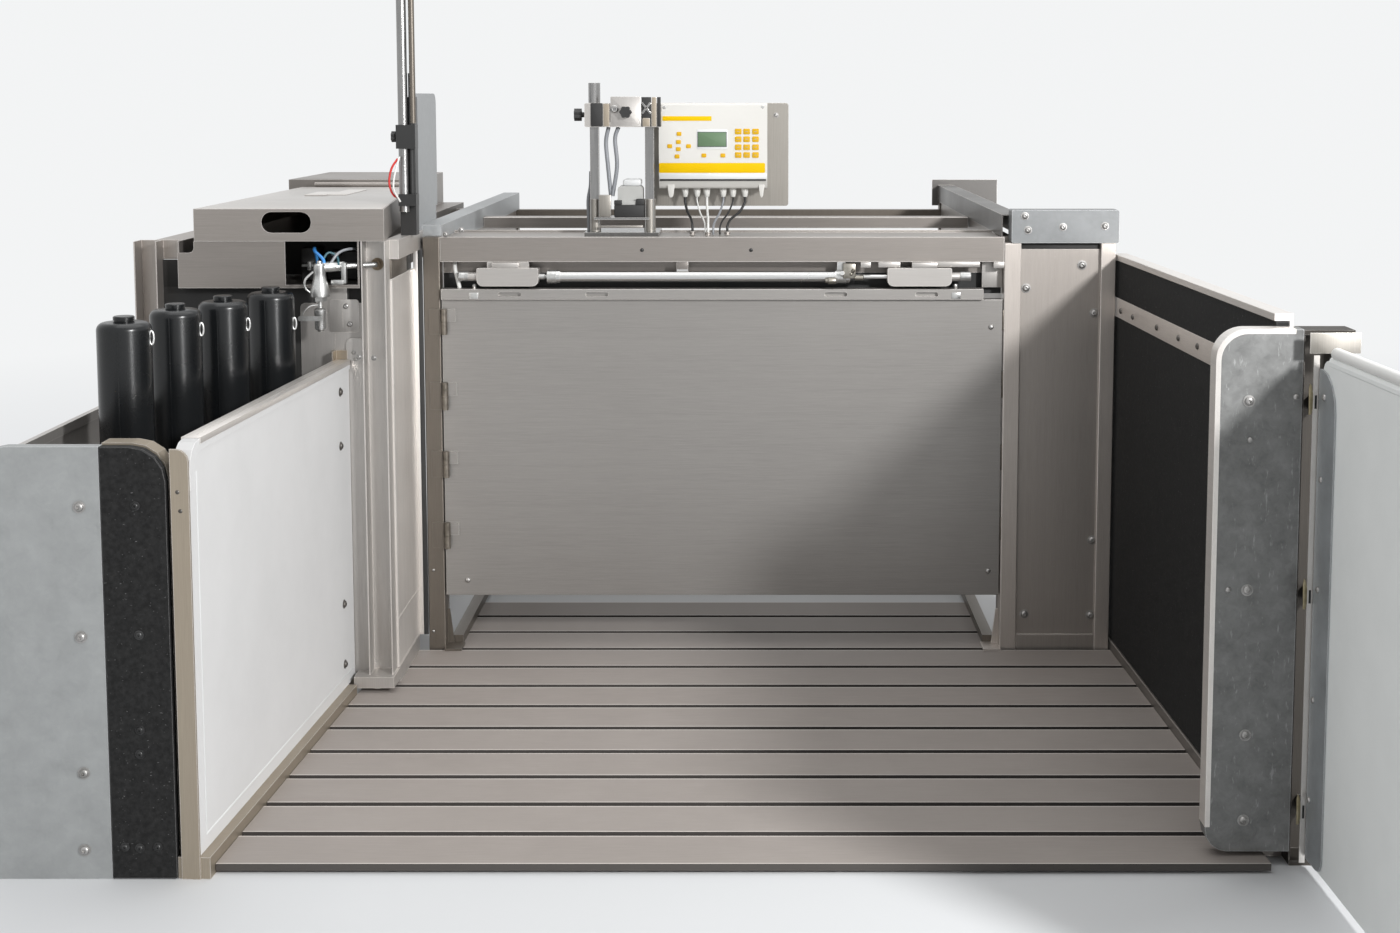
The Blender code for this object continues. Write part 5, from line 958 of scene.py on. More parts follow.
build(
    "barrel_fitting", fitting_brass,
    (box, (0.318, 0.352), (-0.020, -0.002), (LOCK_Z - 0.004, LOCK_Z + 0.036), 0.003),
    (turned, nozzle, (0.300, -0.018, 1.019), (-1, 0, 0), 16),
    (turned, elbow, (0.335, -0.012, 1.030), (0.5, -0.4, 0.76), 12),
    (turned, [(0.0070, 0), (0.0070, 0.021), (0.0050, 0.0235)], (0.350, -0.010, 1.026), ALONG_CYLINDER, 12),
    slot="bright_metal",
)
build(
    "beam_brackets", housing_steel,
    (box, (-0.605, -0.535), (-0.0205, 0.010), (1.0525, BEAM_TOUCH), 0.0012),
    (box, (0.500, 0.566), (-0.0205, 0.010), (1.0525, BEAM_TOUCH), 0.0012),
    (box, (0.365, 0.392), (-0.014, 0.012), (1.0530, BEAM_TOUCH), 0.0015),
    (box, (0.412, 0.470), (-0.008, 0.004), (1.053, BEAM_TOUCH), 0.0012),
    (box, (0.566, 0.680), (-0.004, 0.008), (1.0535, BEAM_TOUCH), 0.0012),
)
cover_z = (LOCK_Z + 0.0185, BEAM_TOUCH)
build("bracket_cover", deep_steel, (box, (-0.1205, -0.0895), (0.0035, 0.0125), cover_z, 0.0003))
stubs = []
for x, direction, length in ((-0.6735, -1, 0.022), (0.6325, 1, 0.024)):
    profile = [(0.0125, -0.004), (0.0130, 0.001), (0.0130, length - 0.002), (0.0115, length)]
    stubs.append((turned, profile, (x, -0.002, LOCK_Z + 0.001), (direction, 0, 0), 24))
build("housing_stub_left", fitting_bright, *stubs, slot="bright_metal")
flange = rounded_rectangle((-0.744, 0.744), (1.034, BEAM_TOUCH), 0.001)
build("beam_rear_flange", deep_steel, (plate, flange, 0.003, facing(0.050)))
# a dark sheet of painted shade under the beam's rear flange
shade_sheet = rounded_rectangle((-0.744, 0.744), (0.978, 1.036), 0.001)
build("lock_shade_sheet", dark_rubber_and_shade, (plate, shade_sheet, 0.003, facing(0.0535)), slot="knob_black")
print("cylinder fittings:", len(caps) + len(stubs))

# %% [markdown]
# A white air hose comes down beside the left housing, and a grey plate closes the gap at the right post.
# Two studs stand on the gate's guide pins.

# %% Beside the housings
hose_route = [(-0.712, 0.040, 1.0665), (-0.708, 0.020, 1.045), (-0.700, 0.012, 1.018), (-0.696, 0.014, 0.9965)]
free_hose("lock_hose", smooth_route(hose_route, 0.006), 0.0055, hose_white)
build(
    "right_lock_plate", bracket_steel,
    (box, (0.690, 0.7440), (0.030, 0.033), (0.9965, BEAM_TOUCH), 0.0006),
    (box, (0.716, 0.7445), (-0.004, 0.014), (1.050, BEAM_TOUCH), 0.002),
)
stud = [(0.0060, 0), (0.0062, 0.003, True), (0.0062, 0.010, True), (0.0045, 0.012)]
studs = []
for x in (-0.655, 0.617):
    studs.append((box, (x - 0.012, x + 0.012), (-0.0135, -0.0105), (0.9700, 0.9870), 0.001))
    studs.append((turned, stud, (x, 0.004, 0.9960), (0, 0, 1), 24))
build("guide_studs", fitting_bright, *studs, body="front_gate", slot="bright_metal")
print("parts of the guide studs:", len(studs))

# %% [markdown]
# The end plate of the right wall has a bright folded rim along its left and top edges, with a rounded
# corner. A thin strip along the plate's own outline makes it.

# %% Rim of the end plate
end_low, end_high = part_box("right_end_plate")
RIM_CORNER = 0.060


def rim_band(work, grow, width, y, thickness, steps=10):
    """A hook-shaped band of quads, up the left edge, round the corner and along the top edge."""
    left, top = end_low[0] - grow, end_high[2] + grow
    bottom, right = end_low[2] + 0.05, end_low[0] + 0.150
    outer, inner = [(left, bottom)], [(left + width, bottom)]
    for step in range(steps + 1):
        angle = math.radians(180 - 90 * step / steps)
        for line, reach in ((outer, RIM_CORNER), (inner, RIM_CORNER - width)):
            line.append((left + RIM_CORNER + reach * math.cos(angle), top - RIM_CORNER + reach * math.sin(angle)))
    outer.append((right, top))
    inner.append((right, top - width))
    rows = []
    for matrix in (facing(y), facing(y + thickness)):
        for line in (outer, inner):
            rows.append([work.verts.new(matrix @ Vector((*point, 0))) for point in line])
    front_outer, front_inner, back_outer, back_inner = rows
    for step in range(len(outer) - 1):
        for a, b in (
            (front_outer, front_inner), (back_inner, back_outer), (back_outer, front_outer), (front_inner, back_inner)
        ):
            work.faces.new((a[step], a[step + 1], b[step + 1], b[step]))
    work.faces.new((front_outer[0], front_inner[0], back_inner[0], back_outer[0]))
    work.faces.new((front_outer[-1], back_outer[-1], back_inner[-1], front_inner[-1]))


build("end_plate_rim", trim_steel, (rim_band, -0.0005, 0.0085, end_low[1] - 0.0012, 0.0016))
edge_depth = end_high[1] - end_low[1] + 0.0008
build("end_plate_edge", trim_steel, (rim_band, 0.0008, 0.0016, end_low[1] - 0.0010, edge_depth))
print("end plate:", [round(value, 3) for value in (*end_low, *end_high)])

# %% [markdown]
# The side door turns on a brown channel post. A folded cap closes the post, a bright strip stands between
# the post and the door's galvanised edge plate, and a round white tube guards the door's top edge. Which
# piece carries the strip isn't seen in the photograph; here it turns with the door.

# %% Hinge post and side door
post_low, post_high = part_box("hinge_post")
post_left, post_front = post_low[0], post_low[1]
LUG_HEIGHTS = (0.925, 0.548, 0.122)
cap_x = (post_left + 0.0005, post_high[0] - 0.0005)
cap_y = (post_front - 0.0030, post_front - 0.0002)
build("hinge_post_cap", plate_steel, (box, cap_x, cap_y, (1.018, 1.0575), 0.0008))
strip_x, strip_y = (post_left + 0.0095, post_left + 0.0205), (post_front - 0.0001, post_front + 0.002)
build("hinge_post_strip", trim_steel, (box, strip_x, strip_y, (0.020, 1.014)), body="side_door")
lug = [(-0.003, -0.030), (0.001, -0.030), (0.004, -0.018), (0.004, 0.010)]
lug += [(0.001, 0.026), (-0.002, 0.030), (-0.004, 0.020)]
slot_x = (post_left + 0.0150 - 0.0022, post_left + 0.0150 + 0.0022)
slot_y = (post_front - 0.0001 - 0.0001, post_front - 0.0001 + 0.001)
lugs = []
slots = []
for height in LUG_HEIGHTS:
    lug_at = Matrix.Translation((post_left + 0.0050, post_front - 0.0030, height + 0.006)) @ facing(0)
    lugs.append((plate, lug, 0.0032, lug_at, 0.0006))
    slots.append((box, slot_x, slot_y, (height - 0.013, height + 0.013)))
build("hinge_lugs", lug_gold, *lugs)
build("hinge_strip_slots", bolt_black, *slots, body="side_door", slot="bright_metal")
door_route = [SIDE_DOOR @ Vector((-0.004, along, 1.0245)) for along in (-0.062, -0.30, -0.60, -0.90)]
tube("door_top_tube", smooth_route(door_route, 0.05), 0.0115, hose_white, "side_door", 6)
door_pixels = ((1324.6, 397.7), (1321, 480), (1318, 590), (1313, 700), (1309, 800))
door_face = (SIDE_DOOR @ Vector((-0.0183, 0, 0)), DOOR_FACE_NORMAL)
bolt_group("door_bolts", door_pixels, door_face, dome_rivet, 0.0065, body="side_door")
print("lugs of the hinge post:", len(lugs))

# %% [markdown]
# A stainless channel caps the white wall panel, and a thin line is milled along the panel's front and
# bottom edges. The channel lies on the panel's top edge and laps over its face by ten millimetres.

# %% Cap of the white wall
WALL_TOP = 0.850
PANEL_FACE = -0.003
PANEL_BACK = -0.033
WALL_FRONT = -1.030
CAP_TOP = WALL_TOP + 0.0021
cap_y = (WALL_FRONT, -0.004)
build(
    "wall_cap", trim_steel,
    (box, (PANEL_BACK - 0.003, 0.0022), cap_y, (WALL_TOP + 0.0001, WALL_TOP + 0.0022), 0.0005, LEFT_WALL),
    (box, (0.0002, 0.0022), cap_y, (WALL_TOP - 0.010, CAP_TOP), 0.0005, LEFT_WALL),
    (box, (PANEL_BACK - 0.003, PANEL_BACK - 0.001), cap_y, (WALL_TOP - 0.012, CAP_TOP), 0.0005, LEFT_WALL),
)
groove = ((-0.0175, -0.0145), (WALL_FRONT + 0.03, -0.02), (WALL_TOP + 0.0020, WALL_TOP + 0.0026))
build("wall_cap_groove", deep_steel, (box, *groove, 0.0002, LEFT_WALL))
line_x = (PANEL_FACE - 0.0004, PANEL_FACE + 0.0006)
build(
    "panel_lines", film_grey,
    (box, line_x, (-1.045, -1.041), (0.075, 0.790), 0.0002, LEFT_WALL),
    (box, line_x, (-1.045, -0.012), (0.071, 0.075), 0.0002, LEFT_WALL),
    slot="white_panel",
)
wall_end = (LEFT_WALL @ Vector((0, -1.0880, 0)), LEFT_WALL.to_3x3() @ Vector((0, -1, 0)))
bolt_group("wall_end_holes", ((177.6, 492), (180.6, 511)), wall_end, dome_rivet, 0.0045, bolt_shadow)
print("cap of the white wall:", round(-0.004 - WALL_FRONT, 3), "m")

# %% [markdown]
# Between the walls and the gate the real frame has closing sheets that the solids leave out: a brown strip
# beside the white panel, a strip beside the gate post, a small box and seams at the side panel. Dark sheets
# of painted shade stand behind the canisters, by the gate post and the box, and over the infill panel. Each
# stands on the piece that carries it.

# %% Closing sheets
rear_strip = rounded_rectangle((-0.9290, -0.8802), (0.050, 0.905), 0.014)
build("wall_rear_strip", bracket_steel, (plate, rear_strip, 0.0025, facing(-0.303), 0.0006))
bolt_group("rear_strip_bolts", ((374, 358), (359, 357)), front(-0.3405), size=0.7)
# a dark board of painted shade behind the canisters, under the cabinet
build(
    "bay_rear_shade_board", inside_dark,
    (box, (-1.3795, -0.9200), (-0.296, -0.2925), (0.625, 1.0325), 0.0006),
    (box, (-1.3795, -1.3305), (-0.2955, -0.2928), (1.0320, 1.1000), 0.0004),
    (box, (-0.9202, -0.8805), (-0.2935, -0.2905), (0.9500, 1.0325), 0.0004),
    slot="black_board",
)
beside_gate = ((-0.0030, 0.0010), (0.061, 1.100), 0.0006)
# a dark strip of painted shade beside the gate post
build("gate_side_shade_strip", dark_rubber_and_shade, (box, (-0.8030, -0.7905), *beside_gate), slot="knob_black")
build("gate_side_strip", side_panel_steel_painted_light, (box, (-0.8148, -0.8032), *beside_gate))
build("side_panel_box", left_post_steel, (box, (-0.829, -0.816), (-0.2840, -0.085), (1.0503, 1.0995), 0.002))
header_gap = (box, (0.7905, 0.9995), (0.0160, 0.0190), (1.085, 1.1165), 0.0005)
build("header_shade", inside_dark, header_gap, slot="black_board")
shade = (box, (-0.826, -0.820), (-0.0845, -0.0035), (1.0503, 1.0995), 0.001)
build("side_panel_shade", inside_dark, shade, slot="knob_black")
rail_end = rounded_rectangle((-0.7975, -0.7470), (1.106, 1.1595), 0.002)
build("left_rail_end", rail_zinc, (plate, rail_end, 0.0020, facing(0.0456), 0.0004), slot="galvanised_steel")
seam_heights = ((0.186, 0.190), (0.0625, 0.0665))
seams = [(box, (-0.8155, -0.8142), (-0.2800, -0.0040), span, 0.0003) for span in seam_heights]
build("side_panel_seams", trim_steel, *seams)
print("seams of the side panel:", len(seams))

# %% [markdown]
# Four black canisters hold marking fluid. Each is blow-moulded: a rounded shoulder, a low neck, a screw cap
# and a mould line down its side. They replace the plain solids and lift out of the tray with them, and a
# small bright ring hangs at the side of each.

# %% Canisters
CANISTERS = (
    ("canister_1", "first_canister", (148.7, 336.3)),
    ("canister_2", "second_canister", (198.6, 327.9)),
    ("canister_3", "third_canister", (247.0, 323.0)),
    ("canister_4", "fourth_canister", (294.0, 322.3)),
)
CAP_RADIUS = 0.0215
SHOULDER_RADIUS = 0.016
eye = Vector(camera.location)
for name, body, ring_pixel in CANISTERS:
    low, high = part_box(name)
    centre = Vector(((low.x + high.x) / 2, (low.y + high.y) / 2, 0))
    radius = (high.x - low.x) / 2
    top = high.z - 0.0125
    profile = [(0, low.z), (radius - 0.010, low.z), (radius - 0.002, low.z + 0.004), (radius, low.z + 0.010)]
    profile += [(radius, top - SHOULDER_RADIUS)]
    for step in range(1, 9):
        angle = math.radians(90 * step / 9)
        inwards, upwards = SHOULDER_RADIUS * math.cos(angle), SHOULDER_RADIUS * math.sin(angle)
        profile.append((radius - SHOULDER_RADIUS + inwards, top - SHOULDER_RADIUS + upwards))
    profile += [(radius - 0.017, top), (CAP_RADIUS + 0.006, top + 0.0008), (CAP_RADIUS - 0.002, top + 0.002)]
    profile += [(CAP_RADIUS - 0.002, top + 0.004), (CAP_RADIUS, top + 0.0045), (CAP_RADIUS, high.z - 0.002)]
    profile += [(CAP_RADIUS - 0.002, high.z - 0.0002), (0, high.z - 0.0002)]
    towards_eye = Vector((eye.x - centre.x, eye.y - centre.y, 0)).normalized()
    sideways = Vector((-towards_eye.y, towards_eye.x, 0))
    mould = towards_eye * 0.966 - sideways * 0.26
    turn = Matrix.Translation(centre) @ mould.to_track_quat("X", "Z").to_matrix().to_4x4()
    mould_spans = ((radius - 0.001, radius + 0.0010), (-0.0011, 0.0011), (low.z + 0.012, top - 0.014))
    shapes = ((turned, profile, centre, (0, 0, 1), 72), (box, *mould_spans, 0.0005, turn))
    bottle = build(name + "_bottle", canister_black, *shapes, body=body, slot="canister_black")
    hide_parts(name)
    side = centre + sideways * (radius + 0.0010)
    ring_at = Vector((side.x, side.y, seen_on(ring_pixel, side, TOWARDS_VIEWER).z))
    loop = []
    for step in range(25):
        angle = 2 * math.pi * step / 24
        upwards = Vector((0, 0, 0.0140 * math.sin(angle)))
        loop.append(ring_at + sideways * (0.0046 * math.cos(angle) - 0.003) + upwards + towards_eye * 0.022)
    tube(name + "_ring", loop, 0.0021, ring_bright, body, 3)
print("canisters:", len(CANISTERS))

# %% [markdown]
# Inside the cabinet are air valves in the dark: valve blocks, small fittings and hoses. They show only
# through the opening beside the regulator. A blue hose and a grey one come out to the regulator's head.

# %% Cabinet inside
build(
    "valve_blocks", inside_dark,
    (box, (-1.060, -1.020), (-0.20, -0.12), (1.0395, 1.120), 0.002),
    (box, (-1.000, -0.900), (-0.18, -0.10), (1.0395, 1.110), 0.002),
    (box, (-1.300, -0.895), (-0.060, -0.055), (1.0395, 1.146), 0.0005),
    slot="mast_black",
)
build(
    "valve_fittings", fitting_bright,
    (box, (-1.056, -1.022), (-0.216, -0.1995), (1.074, 1.080), 0.001),
    (box, (-1.040, -1.030), (-0.222, -0.1995), (1.066, 1.088), 0.001),
    (box, (-0.985, -0.965), (-0.200, -0.1795), (1.100, 1.1095), 0.001),
    slot="bright_metal",
)
blue_route = [(-0.962, -0.372, 1.094), (-0.966, -0.368, 1.108), (-0.990, -0.345, 1.124), (-1.004, -0.290, 1.126)]
blue_route += [(-1.010, -0.245, 1.095), (-1.010, -0.235, 1.045)]
teal_route = [(-0.970, -0.372, 1.096), (-0.955, -0.360, 1.122), (-0.935, -0.352, 1.112), (-0.930, -0.360, 1.090)]
grey_route = [(-0.950, -0.366, 1.094), (-0.930, -0.350, 1.122), (-0.905, -0.310, 1.128), (-0.895, -0.180, 1.108)]
free_hose("regulator_blue_hose", smooth_route(blue_route, 0.006), 0.0040, hose_blue)
free_hose("regulator_teal_hose", smooth_route(teal_route, 0.006), 0.0030, hose_teal)
free_hose("regulator_grey_hose", smooth_route(grey_route, 0.006), 0.0035, hose_grey)

# %% [markdown]
# The air regulator stands in front of the opening: a head with a cross pipe, a bell, a nut, a thin neck
# and a filter cup. Its pipe runs to a rusty flange on the corner post. One turned profile makes the upright
# parts. It replaces the plain solid.

# %% Air regulator
REGULATOR = Vector((-0.973, -0.375, 0))
PIPE_Z = 1.088
upright = [(0, 0.930), (0.0060, 0.930), (0.0080, 0.934), (0.0125, 0.936), (0.0140, 0.940), (0.0140, 0.972)]
upright += [(0.0150, 0.974), (0.0150, 0.984), (0.0110, 0.988), (0.0055, 0.990), (0.0050, 1.004), (0.0130, 1.005)]
upright += [(0.0175, 1.006, True), (0.0175, 1.016, True), (0.0235, 1.017), (0.0240, 1.024), (0.0215, 1.040)]
upright += [(0.0165, 1.058), (0.0145, 1.070), (0.0150, 1.074), (0.0150, 1.094), (0.0120, 1.097), (0.0060, 1.098)]
upright += [(0.0060, 1.104), (0, 1.104)]
pipe_start = Vector((REGULATOR.x, REGULATOR.y, PIPE_Z))
pipe_way = Vector((-0.850, -0.2990, PIPE_Z)) - pipe_start
pipe = [(0.0120, 0.005), (0.0130, 0.030), (0.0115, 0.046), (0.0125, 0.047, True), (0.0125, 0.060, True)]
pipe += [(0.0068, 0.061), (0.0066, pipe_way.length)]
regulator = build(
    "air_regulator_body", fitting_bright,
    (turned, upright, REGULATOR, (0, 0, 1), 48),
    (turned, pipe, pipe_start, pipe_way.normalized(), 24),
    (box, (-0.925, -0.913), (-0.358, -0.340), (1.046, 1.098), 0.003),
    (box, (-0.950, -0.918), (-0.362, -0.346), (1.044, 1.056), 0.003),
    slot="bright_metal",
)
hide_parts("air_regulator")
pipe_flange = [(0.0155, 0), (0.0155, 0.003), (0.0110, 0.0035), (0.0105, 0.0035, True)]
pipe_flange += [(0.0105, 0.0100, True), (0.0070, 0.0110)]
build("pipe_flange", rusty, (turned, pipe_flange, (-0.850, -0.2885, PIPE_Z), (0, -1, 0), 24), slot="bright_metal")
ear_route = [(-0.986, -0.384, 1.078), (-1.004, -0.390, 1.060), (-1.006, -0.388, 1.040), (-0.994, -0.382, 1.026)]
tube("regulator_ear", smooth_route(ear_route, 0.005), 0.0030, fitting_bright)
drain_route = [(-0.976, -0.386, 0.998), (-0.995, -0.392, 0.994), (-1.010, -0.392, 0.980), (-1.012, -0.384, 0.964)]
drain_route += [(-0.988, -0.378, 0.960)]
tube("regulator_drain", smooth_route(drain_route, 0.004), 0.0020, fitting_bright)
print("pipe length:", round(pipe_way.length * 1000), "mm")

# %% [markdown]
# Sheet corners on the bracket, and the bright tops: a second plate with a rounded corner is bolted on the
# valve bracket, and the lid carries a pale top sheet with a folded grip.

# %% Bracket plate and lid top
def plate_on(work, pixels, y, corner, thickness=0.0015, edge=0.0004):
    """A rounded plate at depth y, between two opposite corners given as pixels of the photograph."""
    first, second = seen_on(pixels[:2], *front(y)), seen_on(pixels[2:], *front(y))
    outline = rounded_rectangle(sorted((first.x, second.x)), sorted((first.z, second.z)), corner)
    plate(work, outline, thickness, facing(y), edge)


build("bracket_plate", bracket_steel, (plate_on, (328.5, 299.5, 359.5, 332.5), -0.3002, 0.008, 0.0018))
build(
    "bracket_seams", deep_steel,
    (plate_on, (334.5, 333.5, 335.8, 357), -0.2988, 0.0005, 0.0010, 0.0),
    (plate_on, (342.2, 310, 343.2, 327), -0.3006, 0.0005, 0.0010, 0.0),
)
lid_low, lid_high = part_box("cabinet_lid")
LID_TOP = 1.228
LID_TAPER = 0.1295
LID_KNUCKLE_Y = 0.728
lid_outline = [
    (lid_low.x + 0.004, lid_low.y + 0.005),
    (lid_high.x - 0.004, lid_low.y + 0.005),
    (lid_high.x - LID_TAPER - 0.002, LID_KNUCKLE_Y),
    (lid_low.x + 0.004, LID_KNUCKLE_Y),
]
on_lid = Matrix.Translation((0, 0, LID_TOP + 0.0007))
build("lid_top_sheet", lid_top_steel, (plate, lid_outline, 0.0008, on_lid, 0.0003), body="lid")
grip = seen_on((304, 196), (0, 0, LID_TOP), (0, 0, 1))
grip_z = LID_TOP + 0.0006
build(
    "lid_grip", trim_steel,
    (box, (grip.x, grip.x + 0.060), (grip.y, grip.y + 0.16), (grip_z, LID_TOP + 0.0040), 0.0015),
    (box, (grip.x + 0.055, grip.x + 0.110), (grip.y + 0.03, grip.y + 0.30), (grip_z, LID_TOP + 0.0030), 0.0012),
    body="lid",
)
print("lid top:", round(lid_high.x - lid_low.x, 3), "m wide")

# %% [markdown]
# The clamp stand carries two grey hoses, a filter on a black foot and a clamp of folded plates. Each small
# plate is placed by its pixels in the photograph, on the front of the clamp that carries it.

# %% Stand and clamp
CLAMP_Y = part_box("stand_clamp")[0].y
build("clamp_plate", bracket_steel, (plate_on, (610.3, 96.5, 641, 126.5), CLAMP_Y - 0.0022, 0.003, 0.0020))
build(
    "clamp_folds", wall_end_steel,
    (plate_on, (603, 103.5, 609.5, 126.5), CLAMP_Y - 0.0042, 0.002, 0.0040, 0.001),
    (plate_on, (651.5, 97, 656.5, 126.5), CLAMP_Y - 0.0052, 0.002, 0.0050, 0.001),
    (plate_on, (642.5, 118, 650, 126.5), CLAMP_Y - 0.0060, 0.002, 0.0058, 0.001),
)
build(
    "clamp_dark_parts", dark_rubber_and_shade,
    (plate_on, (590.5, 103.0, 602.5, 126.5), CLAMP_Y - 0.0024, 0.003, 0.0022, 0.001),
    (plate_on, (641.3, 97.0, 651.2, 126.5), CLAMP_Y - 0.0022, 0.001, 0.0020, 0.0004),
    (plate_on, (657, 97.0, 660.8, 126.5), CLAMP_Y - 0.0040, 0.001, 0.0038, 0.0004),
    slot="knob_black",
)
cross_at = Matrix.Translation(seen_on((646.2, 108), *front(CLAMP_Y - 0.0036)))
cross = []
for degrees in (38, -38):
    matrix = cross_at @ Matrix.Rotation(math.radians(degrees), 4, "Y")
    cross.append((box, (-0.0028, 0.0028), (-0.0008, 0.0016), (-0.0185, 0.0185), 0.0006, matrix))
small_knob = [(0.0105, 0), (0.0105, 0.006), (0.0080, 0.008), (0.0060, 0.008), (0.0055, 0.004), (0, 0.004)]
cross.append((turned, small_knob, seen_on((614.5, 109), *front(CLAMP_Y - 0.0024)), TOWARDS_VIEWER, 24))
build("clamp_cross", tube_steel, *cross)
sleeve = [(0.0135, 1.1275), (0.0155, 1.1280), (0.0155, 1.226), (0.0135, 1.2265)]
build(
    "stand_sleeves", plate_steel,
    *[(turned, sleeve, (x, 0.135, 0), (0, 0, 1), 32) for x in (-0.345, -0.197)],
    (box, (-0.333, -0.300), (0.105, 0.118), (1.1785, 1.238), 0.002),
    (box, (-0.333, -0.215), (0.100, 0.104), (1.150, 1.1560), 0.001),
)
build(
    "filter_foot", dark_rubber_and_shade,
    (box, (-0.291, -0.2105), (0.0940, 0.180), (1.1783, 1.212), 0.003),
    (box, (-0.291, -0.270), (0.0940, 0.110), (1.2115, 1.224), 0.002),
    (box, (-0.232, -0.2105), (0.0940, 0.110), (1.2115, 1.228), 0.002),
    slot="knob_black",
)
build("filter_lid", film_grey, (box, (-0.268, -0.219), (0.108, 0.168), (1.2615, 1.280), 0.006), slot="filter_grey")


def hose_by_pixels(name, pixels, y, radius, start=None, end=None):
    """A grey hose at depth y through pixels of the photograph; start and end fix its two end points."""
    route = [seen_on(pixel, *front(y)) for pixel in pixels]
    route[0], route[-1] = start or route[0], end or route[-1]
    free_hose(name, smooth_route(route, 0.010), radius, hose_grey)


hose_by_pixels("stand_hose_left", ((608.6, 127), (606.0, 142), (608.0, 166), (611.0, 196)), 0.128, 0.0055)
hose_by_pixels("stand_hose_right", ((618.5, 127), (615.0, 139), (617.0, 166), (612.5, 196)), 0.124, 0.0055)
outer_pixels = ((598.0, 172), (590.5, 186), (588.3, 200), (588.8, 218), (589.5, 232))
outer_ends = ((-0.3560, 0.138, 1.300), (-0.3625, 0.140, 1.128))
hose_by_pixels("stand_hose_outer", outer_pixels, 0.140, 0.0050, *outer_ends)

# %% [markdown]
# Three thinner leads run beside the controller's thick cables, into the same grommets, and two wires run
# from the mast's switch to its foot. A fixed rod stands beside the sliding tube, its foot just above the
# mast's clamp; its place comes from the photograph, and the solids' own black rod runs through its foot.

# %% Thin leads and mast wires
lead_bends = (0.012, (0.35, 0.016, 0.042), (0.85, 0.008, 0.026), 0.010, 1.1280)
for name, gland_x, end_x, end_y, radius, finish, slot in (
    ("lead_white_thin", -0.072, -0.048, 0.158, 0.0022, cable_white, "cable_white"),
    ("lead_grey", 0.000, -0.026, 0.152, 0.0030, hose_grey, "cable_black"),
    ("lead_black_thin", 0.027, -0.008, 0.158, 0.0024, cable_black, "cable_black"),
):
    free_hose(name, smooth_route(gland_route(gland_x, end_x, end_y, *lead_bends), 0.006), radius, finish)
ROD_FOOT = (-0.7803, -0.155, 1.434)
ROD_LENGTH = 0.6155
rod = [(0, 0), (0.0075, 0), (0.0075, ROD_LENGTH - 0.001), (0.0065, ROD_LENGTH), (0, ROD_LENGTH)]
build("mast_rod", left_post_steel, (turned, rod, ROD_FOOT, (0, 0, 1), 24))
red_route = [(-0.8165, -0.176, 1.345), (-0.832, -0.180, 1.320), (-0.838, -0.182, 1.285), (-0.830, -0.178, 1.255)]
red_route += [(-0.8165, -0.174, 1.245)]
pale_route = [(-0.8120, -0.1765, 1.350), (-0.822, -0.186, 1.310), (-0.826, -0.188, 1.270), (-0.812, -0.1765, 1.236)]
free_hose("mast_wire_red", smooth_route(red_route, 0.006), 0.0028, wire_red)
free_hose("mast_wire_pale", smooth_route(pale_route, 0.006), 0.0024, hose_white)

# %% [markdown]
# The floor is a plain pale sweep. It keeps the station's shadow, and far away it turns into the colour
# of the background, so that no line shows where they meet.

# %% Floor and background
BACKGROUND = (0.895, 0.905, 0.910)
floor_finish, tree, surface = new_finish("studio_floor")
distance = vector_maths(tree, "LENGTH", place_of(tree), output="Value")
far = between(tree, distance, 1.75, 2.7)
horizon = between(tree, distance, 2.4, 7.0)
connect(tree, surface, mix(tree, noise(tree, place_of(tree), 1.5, 3.0), (0.570, 0.580, 0.590), (0.590, 0.600, 0.610)))
surface.inputs["Roughness"].default_value = 0.6
far_tone = mix(tree, horizon, (0.745, 0.757, 0.773), BACKGROUND)
plain = node(tree, "ShaderNodeEmission", {"Color": far_tone, "Strength": 1.0})
blend = node(tree, "ShaderNodeMixShader", {0: far, 1: surface.outputs["BSDF"], 2: plain.outputs["Emission"]})
tree.links.new(blend.outputs["Shader"], tree.nodes["Material Output"].inputs["Surface"])
work = bmesh.new()
bmesh.ops.create_circle(work, cap_ends=True, segments=96, radius=60)
floor_mesh = bpy.data.meshes.new("studio_floor")
work.to_mesh(floor_mesh)
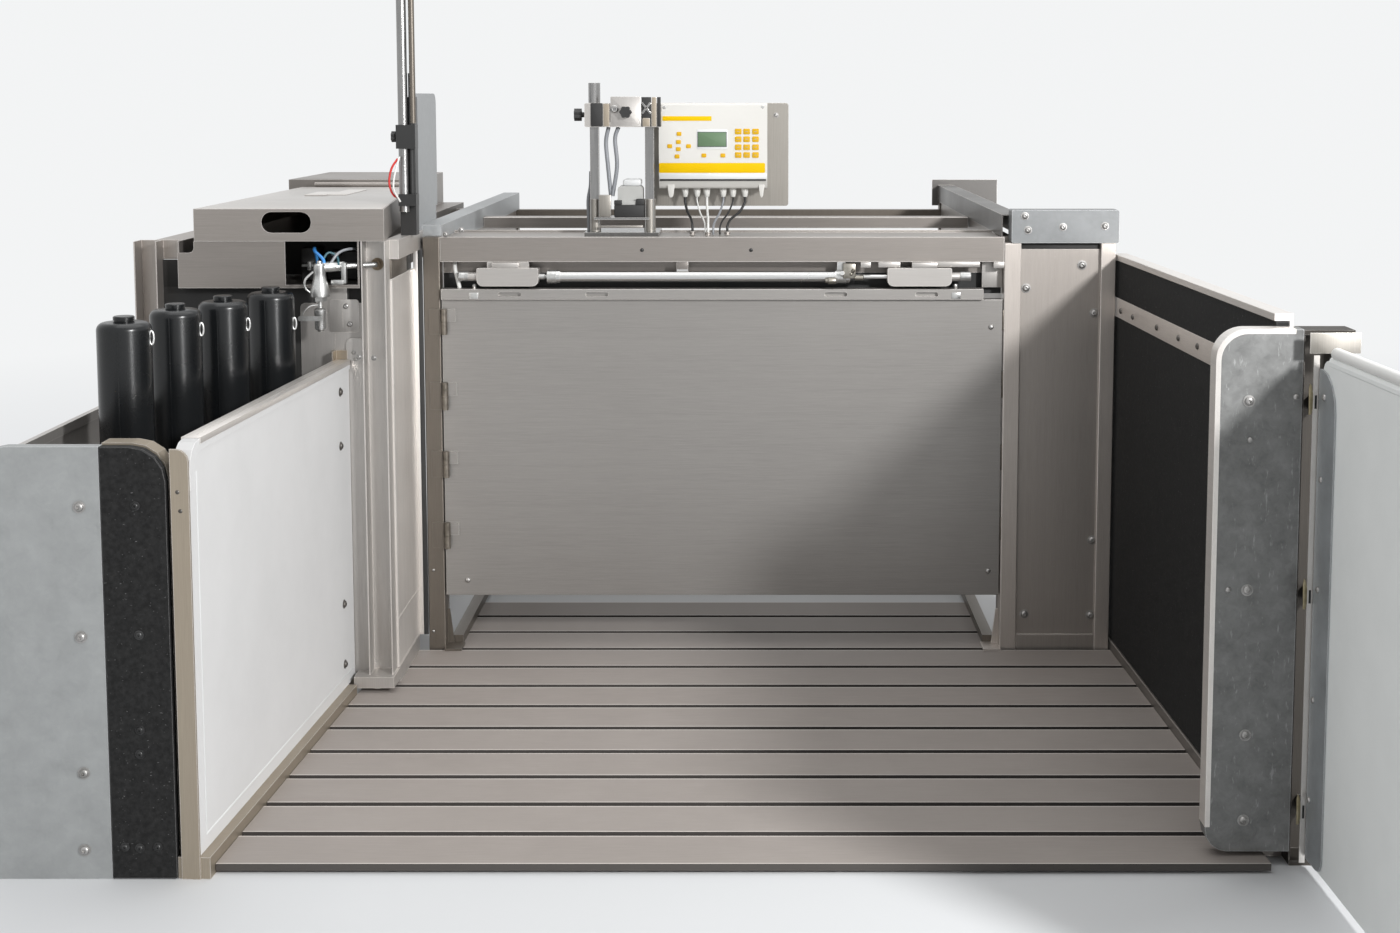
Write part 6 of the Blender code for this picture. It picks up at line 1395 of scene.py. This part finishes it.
work.free()
floor_mesh.materials.append(floor_finish)
studio_floor = bpy.data.objects.new("studio_floor", floor_mesh)
studio_floor.location.z = cad_bounds[0][2] - 0.0002
bpy.context.scene.collection.objects.link(studio_floor)

world = bpy.data.worlds.new("studio")
bpy.context.scene.world = world
world.use_nodes = True
sky = world.node_tree
ambient = sky.nodes["Background"]
ambient.inputs["Color"].default_value = (1.0, 1.0, 1.0, 1)
ambient.inputs["Strength"].default_value = 0.42
seen = node(sky, "ShaderNodeBackground", {"Color": (*BACKGROUND, 1), "Strength": 1.0})
path = node(sky, "ShaderNodeLightPath").outputs
direct = maths(sky, "MAXIMUM", path["Is Camera Ray"], path["Is Glossy Ray"])
visible = maths(sky, "MAXIMUM", direct, path["Is Transmission Ray"])
choose = node(sky, "ShaderNodeMixShader", {0: visible, 1: ambient.outputs[0], 2: seen.outputs[0]})
sky.links.new(choose.outputs[0], sky.nodes["World Output"].inputs["Surface"])
print("floor at", studio_floor.location.z)

# %% [markdown]
# Three soft lamps. A round one high on the right in front throws the shadows that the photograph shows on
# the infill panel and the gate. A broad one above brightens every top: floor boards, beam and lid. A tall
# narrow one beside the first gives the canisters and tubes their upright highlights.

# %% Lamps
def lamp(name, place, aim, power, shape, width, height=None):
    data = bpy.data.lights.new(name, "AREA")
    data.energy = power
    data.shape = shape
    data.size = width
    if height:
        data.size_y = height
    made = bpy.data.objects.new(name, data)
    made.location = place
    made.rotation_euler = (Vector(place) - Vector(aim)).to_track_quat("Z", "Y").to_euler()
    made.visible_camera = False
    bpy.context.scene.collection.objects.link(made)
    return made


lamp("key", (3.45, -5.0, 3.08), (0, 0, 0.6), 400, "DISK", 0.6)
lamp("overhead", (0, -0.3, 5.0), (0, -0.3, 0), 122, "SQUARE", 5.0)
lamp("upright_strip", (2.9, -4.8, 0.62), (-1.1, -0.8, 0.62), 42, "RECTANGLE", 0.28, 1.2)
bpy.context.scene.view_settings.view_transform = "Standard"
print("lamps:", len(bpy.data.lights))
